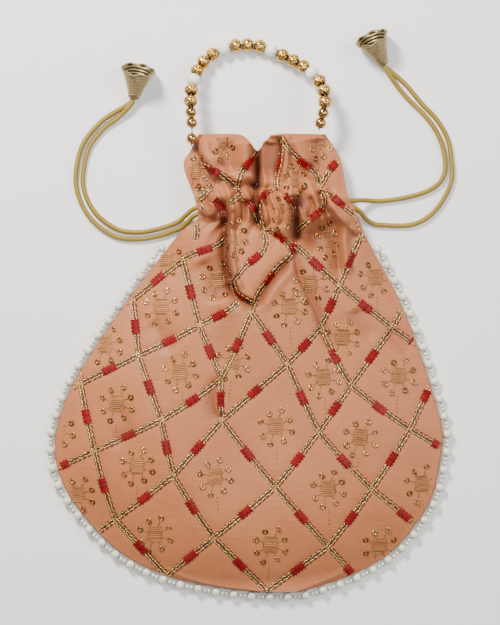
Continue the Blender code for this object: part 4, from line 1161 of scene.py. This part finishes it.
def casing_run(row, exit_side):
    """A drawstring's hidden run round the neck, between the shell and its lining."""
    middle, half = middle_and_half(row)
    reach = half - 6.0
    x = middle - exit_side * np.linspace(-0.93, 1.0, 40) * reach
    over = front.height(x, np.full(40, row)) - CLOTH
    low = np.array([over[max(0, i - 3):i + 4].min() for i in range(40)])
    low = np.convolve(np.pad(low, 3, mode="edge"), np.ones(7) / 7.0, mode="valid") - CORD_R - 0.5
    under = back.height(x, np.full(40, row)) + CLOTH
    high = np.array([under[max(0, i - 3):i + 4].max() for i in range(40)])
    high = np.convolve(np.pad(high, 3, mode="edge"), np.ones(7) / 7.0, mode="valid")
    high = high + CORD_R + 0.3
    route = [(a, row, c) for a, c in zip(x[::3], low[::3])]
    route.append((middle - exit_side * (reach + 2.6), row, (low[-1] + high[-1]) / 2.0))
    route += [(a, row, c) for a, c in zip(x[::-3], high[::-3])]
    return even_points(route, 1.5)


for node, row, exit_side in (("casing_run_left", 58.0, -1.0), ("casing_run_right", 65.0, 1.0)):
    run = tube("satin_" + node, casing_run(row, exit_side), CORD_R, 10, satin_cord)
    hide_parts(node)


# ---------------------------------------------------------------- pearl edging

def edging_line():
    """Line of the pearls' middles, just outside the cloth's edge, from left to right."""
    left = [(x, y) for x, y in LEFT_CURVE if y < 43.0][::-1]
    right = [(x, y) for x, y in RIGHT_CURVE if y < 43.0]
    edge = np.array(left + right)
    even = points_at(edge, np.arange(0.0, 600.0, 2.0))
    even = even[np.concatenate(([True], np.linalg.norm(np.diff(even, axis=0), axis=1) > 0.5))]
    way = np.gradient(even, axis=0)
    way /= np.linalg.norm(way, axis=1)[:, None]
    line = np.stack([even[:, 0] + 2.8 * way[:, 1], even[:, 1] - 2.8 * way[:, 0],
                     np.maximum(2.7, seam_z(even[:, 1]))], axis=1)
    return line, way


def drilled_ball(name, segments, rings, size):
    """A ball with a bore through it along Z."""
    piece = ball(name, segments, rings, size)
    bpy.ops.object.mode_set(mode="EDIT")
    bpy.ops.mesh.select_mode(type="VERT")
    bpy.ops.mesh.select_all(action="DESELECT")
    shape = bmesh.from_edit_mesh(piece.data)
    for vert in shape.verts:
        vert.select = math.hypot(vert.co.x, vert.co.y) < 1e-4
    bmesh.update_edit_mesh(piece.data)
    bpy.ops.mesh.delete(type="VERT")
    bpy.ops.mesh.select_all(action="DESELECT")
    shape = bmesh.from_edit_mesh(piece.data)
    bpy.ops.mesh.select_mode(type="EDGE")
    for edge in shape.edges:
        edge.select = edge.is_boundary
    bmesh.update_edit_mesh(piece.data)
    bpy.ops.mesh.bridge_edge_loops()
    bpy.ops.mesh.select_all(action="SELECT")
    bpy.ops.mesh.normals_make_consistent(inside=False)
    bpy.ops.object.mode_set(mode="OBJECT")
    return piece


def frame_along(place, way, scale=1.0):
    """A frame whose Z axis lies along the way."""
    z = np.asarray(way, float) / np.linalg.norm(way)
    x = np.cross(z, (0.0, 0.0, 1.0))
    x = x / np.linalg.norm(x) if np.linalg.norm(x) > 1e-6 else np.array((1.0, 0.0, 0.0))
    y = np.cross(z, x)
    made = np.empty((3, 4))
    made[:, 0], made[:, 1], made[:, 2], made[:, 3] = x * scale, y * scale, z * scale, place
    return made


def pearl_edging():
    line, _ = edging_line()
    total = lengths_along(line)[-1]
    count = int((total - 5.0) // 10.0) + 1
    first = (total - (count - 1) * 10.0) / 2.0
    marks = first + 10.0 * np.arange(count)
    large = drilled_ball("pearl", 16, 10, (2.45, 2.45, 2.4))
    small = drilled_ball("seed_pearl", 10, 7, (1.25, 1.25, 1.2))
    spots = points_at(line, marks)
    ways = points_at(line, marks + 1.0) - points_at(line, marks - 1.0)
    big = copies("edge_pearls", large, [frame_along(p, w) for p, w in zip(spots, ways)],
                 np.ones(count), nacre)
    between = np.sort(np.concatenate((marks[:-1] + 3.9, marks[:-1] + 6.1)))
    spots = points_at(line, between)
    spots[:, 2] -= 0.5
    ways = points_at(line, between + 1.0) - points_at(line, between - 1.0)
    seeds = copies("edge_seed_pearls", small, [frame_along(p, w) for p, w in zip(spots, ways)],
                   np.ones(len(between)), nacre)
    thread = tube("edge_thread", points_at(line, np.arange(first, total - first, 2.0)), 0.4, 6,
                  net_thread)
    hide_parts("pearl_edging")
    put_away(large, small)
    return big, seeds, thread


pearl_edging()


# ---------------------------------------------------------------- handle beads

HANDLE_ROUTE = (
    (-31.3, 103.8, 15.5), (-31.6, 109.4, 16.6), (-32.0, 115.2, 17.6), (-32.1, 120.6, 16.9),
    (-31.7, 126.2, 14.2), (-30.6, 131.6, 10.6), (-28.4, 137.4, 7.0), (-24.8, 142.4, 4.8),
    (-18.6, 147.2, 4.2), (-11.1, 150.2, 4.2), (-3.0, 151.4, 4.2), (5.4, 150.8, 4.2),
    (13.0, 148.0, 4.2), (19.4, 145.0, 4.6), (25.4, 142.0, 5.8), (31.0, 138.6, 7.8),
    (35.8, 134.6, 10.6), (39.4, 130.2, 13.6), (41.4, 125.0, 16.4), (42.0, 119.6, 18.2),
    (41.2, 114.2, 18.2), (39.6, 108.8, 17.0), (38.4, 103.8, 15.5),
)
BEAD_ROW = "ssGGWGGGWGGGWGGGWGGGss"
HALF_LENGTH = {"s": 3.0, "G": 3.55, "W": 3.55}


def mark_relief(piece, low, high):
    """Store how far each point stands out from the bead's axis, from 0 in the carving to 1."""
    values = [fade(math.hypot(v.co.x, v.co.y) / max(1e-6, math.sqrt(max(1e-6, 1.0 - (
        v.co.z / 3.7) ** 2))), low, high) for v in piece.data.vertices]
    attribute = piece.data.attributes.new("relief", "FLOAT", "POINT")
    attribute.data.foreach_set("value", values)


def apply_subdivision(piece, levels=1):
    bare()
    piece.select_set(True)
    bpy.context.view_layer.objects.active = piece
    smoother = piece.modifiers.new("smooth", "SUBSURF")
    smoother.levels = levels
    smoother.render_levels = levels
    bpy.ops.object.modifier_apply(modifier=smoother.name)


def carve(piece, chosen, inset, depth):
    """Inset the chosen faces one by one and press them in, or out where depth is below 0."""
    bpy.ops.object.mode_set(mode="EDIT")
    bpy.ops.mesh.select_mode(type="FACE")
    bpy.ops.mesh.select_all(action="DESELECT")
    shape = bmesh.from_edit_mesh(piece.data)
    for face in shape.faces:
        face.select = chosen(face)
    bmesh.update_edit_mesh(piece.data)
    bpy.ops.mesh.inset(thickness=inset, depth=-depth, use_individual=True)
    bpy.ops.object.mode_set(mode="OBJECT")


def ring_and_sector(face, sectors):
    middle = face.calc_center_median()
    return math.floor((math.atan2(middle.y, middle.x) / math.tau + 0.5) * sectors), middle.z


carved = drilled_ball("carved", 18, 12, (4.0, 4.0, 3.55))
carve(carved, lambda f: abs(f.calc_center_median().z) < 3.0
      and math.hypot(*f.calc_center_median().xy) > 1.6
      and (ring_and_sector(f, 18)[0] + round(f.calc_center_median().z / 0.95)) % 3 == 0,
      0.18, 0.55)
apply_subdivision(carved)
mark_relief(carved, 3.1, 3.85)
seeded = drilled_ball("seeded", 14, 11, (3.75, 3.75, 3.5))
carve(seeded, lambda f: math.hypot(*f.calc_center_median().xy) > 1.4, 0.12, -0.38)
apply_subdivision(seeded)
mark_relief(seeded, 3.5, 3.95)
smooth_bead = drilled_ball("smooth_bead", 20, 14, (3.2, 3.2, 3.05))

handle_line = smooth_curve(HANDLE_ROUTE)
handle_length = lengths_along(handle_line)[-1]
steps = np.array([2.0 * HALF_LENGTH[mark] + 0.6 for mark in BEAD_ROW])
steps *= (handle_length - 2.0) / steps.sum()
bead_ends = 1.0 + np.concatenate(([0.0], np.cumsum(steps)))
bead_joints = points_at(handle_line, bead_ends)
for index, mark in enumerate(BEAD_ROW):
    start, end = bead_joints[index], bead_joints[index + 1]
    master, finish, label, slot_name = {
        "G": (carved, carved_gilt, "gold_bead", "gold"),
        "W": (seeded, ivory, "white_bead", "white_bead"),
        "s": (smooth_bead, pale_gilt, "small_bead", "gold")}[mark]
    made = frame_along((start + end) / 2.0, end - start)
    spin = Matrix.Rotation(index * 0.9, 3, "Z")
    made[:, :3] = np.array(Matrix(made[:, :3].tolist()) @ spin)
    mesh = master.data.copy()
    place = Matrix([[*row] for row in made * 1.0] + [[0.0, 0.0, 0.0, 1.0]])
    mesh.transform(Matrix.Scale(MM, 4) @ place)
    mesh.shade_smooth()
    piece = add_piece(f"{label}_carved_{index + 1:02d}" if mark == "G" else
                      f"{label}_turned_{index + 1:02d}", mesh, finish, "handle")
    face_outwards(piece)
    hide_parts(f"{label}_{index + 1:02d}")
low, high = np.array((-31.6, 95.0, 12.9)), np.array((-31.3, 103.0, 15.2))
mesh = smooth_bead.data.copy()
place = Matrix([[*row] for row in frame_along((low + high) / 2.0, high - low)]
               + [[0.0, 0.0, 0.0, 1.0]])
mesh.transform(Matrix.Scale(MM, 4) @ place)
mesh.shade_smooth()
sewn = add_piece("sewn_bead_turned", mesh, pale_gilt)
face_outwards(sewn)
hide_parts("sewn_bead")
for name in ("handle_string", "handle_tail"):
    frame_object = bpy.data.objects[name]
    frame_object.data.materials.clear()
    frame_object.data.materials.append(net_thread)
put_away(carved, seeded, smooth_bead, stitch, plain_stitch, sequin)


# ---------------------------------------------------------------- bells

BELLS = {
    "bell_left": ((-63.7, 122.2, 3.0), (-61.0, 137.6, 9.9)),
    "bell_right": ((74.0, 141.0, 3.0), (67.4, 155.0, 9.9)),
}
BELL_RINGS = 9
LOBES = 7


def bell(name, neck_end, mouth):
    """A ribbed, flared horn with a wavy rim, drawn up ring by ring from its closed neck."""
    neck_end, mouth = np.array(neck_end), np.array(mouth)
    length = np.linalg.norm(mouth - neck_end)
    around = 4 * LOBES
    bare()
    bpy.ops.mesh.primitive_circle_add(vertices=around, radius=1.2, fill_type="NGON")
    piece = bpy.context.object
    piece.name = name + "_ribbed"
    bpy.ops.object.mode_set(mode="EDIT")
    bpy.ops.mesh.select_mode(type="EDGE")
    bpy.ops.mesh.select_all(action="DESELECT")
    shape = bmesh.from_edit_mesh(piece.data)
    for edge in shape.edges:
        edge.select = edge.is_boundary
    bmesh.update_edit_mesh(piece.data)
    profile = [(0.0, 2.4), (0.3, 2.9), (1.8, 2.9)]
    for ring in range(BELL_RINGS):
        for part, swell in ((0.15, -0.22), (0.4, 0.28), (0.75, 0.28), (1.0, -0.22)):
            share = (ring + part) / BELL_RINGS
            radius = 2.9 + 5.4 * share ** 1.25 + swell
            profile.append((1.8 + (length - 2.6) * share, radius))
    profile += [(length - 0.4, 8.9), (length, 9.5)]
    level, width = 0.0, 1.2
    for height, radius in profile:
        bpy.ops.mesh.extrude_edges_move(
            TRANSFORM_OT_translate={"value": (0.0, 0.0, height - level)})
        factor = radius / width
        bpy.ops.transform.resize(value=(factor, factor, 1.0), center_override=(0.0, 0.0, height))
        level, width = height, radius
    bpy.ops.mesh.select_all(action="SELECT")
    bpy.ops.mesh.remove_doubles(threshold=0.0005)
    bpy.ops.mesh.normals_make_consistent(inside=False)
    for phase, factor, drop in ((0, 1.035, -0.8), (2, 0.965, 0.5)):
        bpy.ops.mesh.select_mode(type="VERT")
        bpy.ops.mesh.select_all(action="DESELECT")
        shape = bmesh.from_edit_mesh(piece.data)
        for vert in shape.verts:
            sector = round(math.atan2(vert.co.y, vert.co.x) / math.tau * around) % 4
            vert.select = vert.co.z > length - 1.4 and sector == phase
        bmesh.update_edit_mesh(piece.data)
        bpy.ops.transform.resize(value=(factor, factor, 1.0), center_override=(0.0, 0.0, 0.0))
        bpy.ops.transform.translate(value=(0.0, 0.0, drop))
    bpy.ops.object.mode_set(mode="OBJECT")
    wall = piece.modifiers.new("wall", "SOLIDIFY")
    wall.thickness = 0.6
    wall.offset = -1.0
    bpy.ops.object.modifier_apply(modifier=wall.name)
    apply_subdivision(piece)
    values = []
    for v in piece.data.vertices:
        share = max(0.0, (v.co.z - 1.8) / (length - 2.6))
        skin = 2.9 + 5.4 * share ** 1.25
        values.append(float(fade(math.hypot(v.co.x, v.co.y) - skin, -0.25, 0.25)))
    piece.data.attributes.new("relief", "FLOAT", "POINT").data.foreach_set("value", values)
    axes = frame_along(neck_end, mouth - neck_end)
    place = Matrix([[*row] for row in axes] + [[0.0, 0.0, 0.0, 1.0]])
    piece.data.transform(Matrix.Scale(MM, 4) @ place)
    face_outwards(piece)
    piece.data.shade_smooth()
    piece.data.materials.clear()
    piece.data.materials.append(antique_brass)
    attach(piece, "bag")
    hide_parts(name)
    return piece


bells = {name: bell(name, *ends) for name, ends in BELLS.items()}


# ---------------------------------------------------------------- floor and light

bare()
bpy.ops.mesh.primitive_plane_add(size=6.0, location=(0.0, 0.0, 0.0))
floor = bpy.context.object
floor.name = "studio_floor"
floor.data.materials.append(paper)


def soft_light(name, place, aim, size, power, colour="#FFFFFF"):
    bpy.ops.object.light_add(type="AREA", location=place)
    lamp = bpy.context.object
    lamp.name = name
    lamp.data.shape = "DISK"
    lamp.data.size = size
    lamp.data.energy = power
    lamp.data.color = linear(colour)[:3]
    lamp.rotation_euler = (Vector(aim) - Vector(place)).to_track_quat("-Z", "Y").to_euler()


soft_light("key_light", (-0.36, 0.66, 0.66), (0.0, 0.05, 0.0), 0.24, 19.0, "#FFF8EF")
soft_light("fill_light", (0.9, 0.2, 0.9), (0.0, 0.0, 0.0), 0.7, 9.0, "#F4F7FF")
soft_light("top_light", (0.05, 0.1, 1.5), (0.0, 0.0, 0.0), 0.5, 9.0)
world = bpy.data.worlds.new("studio_air")
world.use_nodes = True
world.node_tree.nodes["Background"].inputs["Color"].default_value = linear("#F2F2F2")
world.node_tree.nodes["Background"].inputs["Strength"].default_value = 0.42
bpy.context.scene.world = world
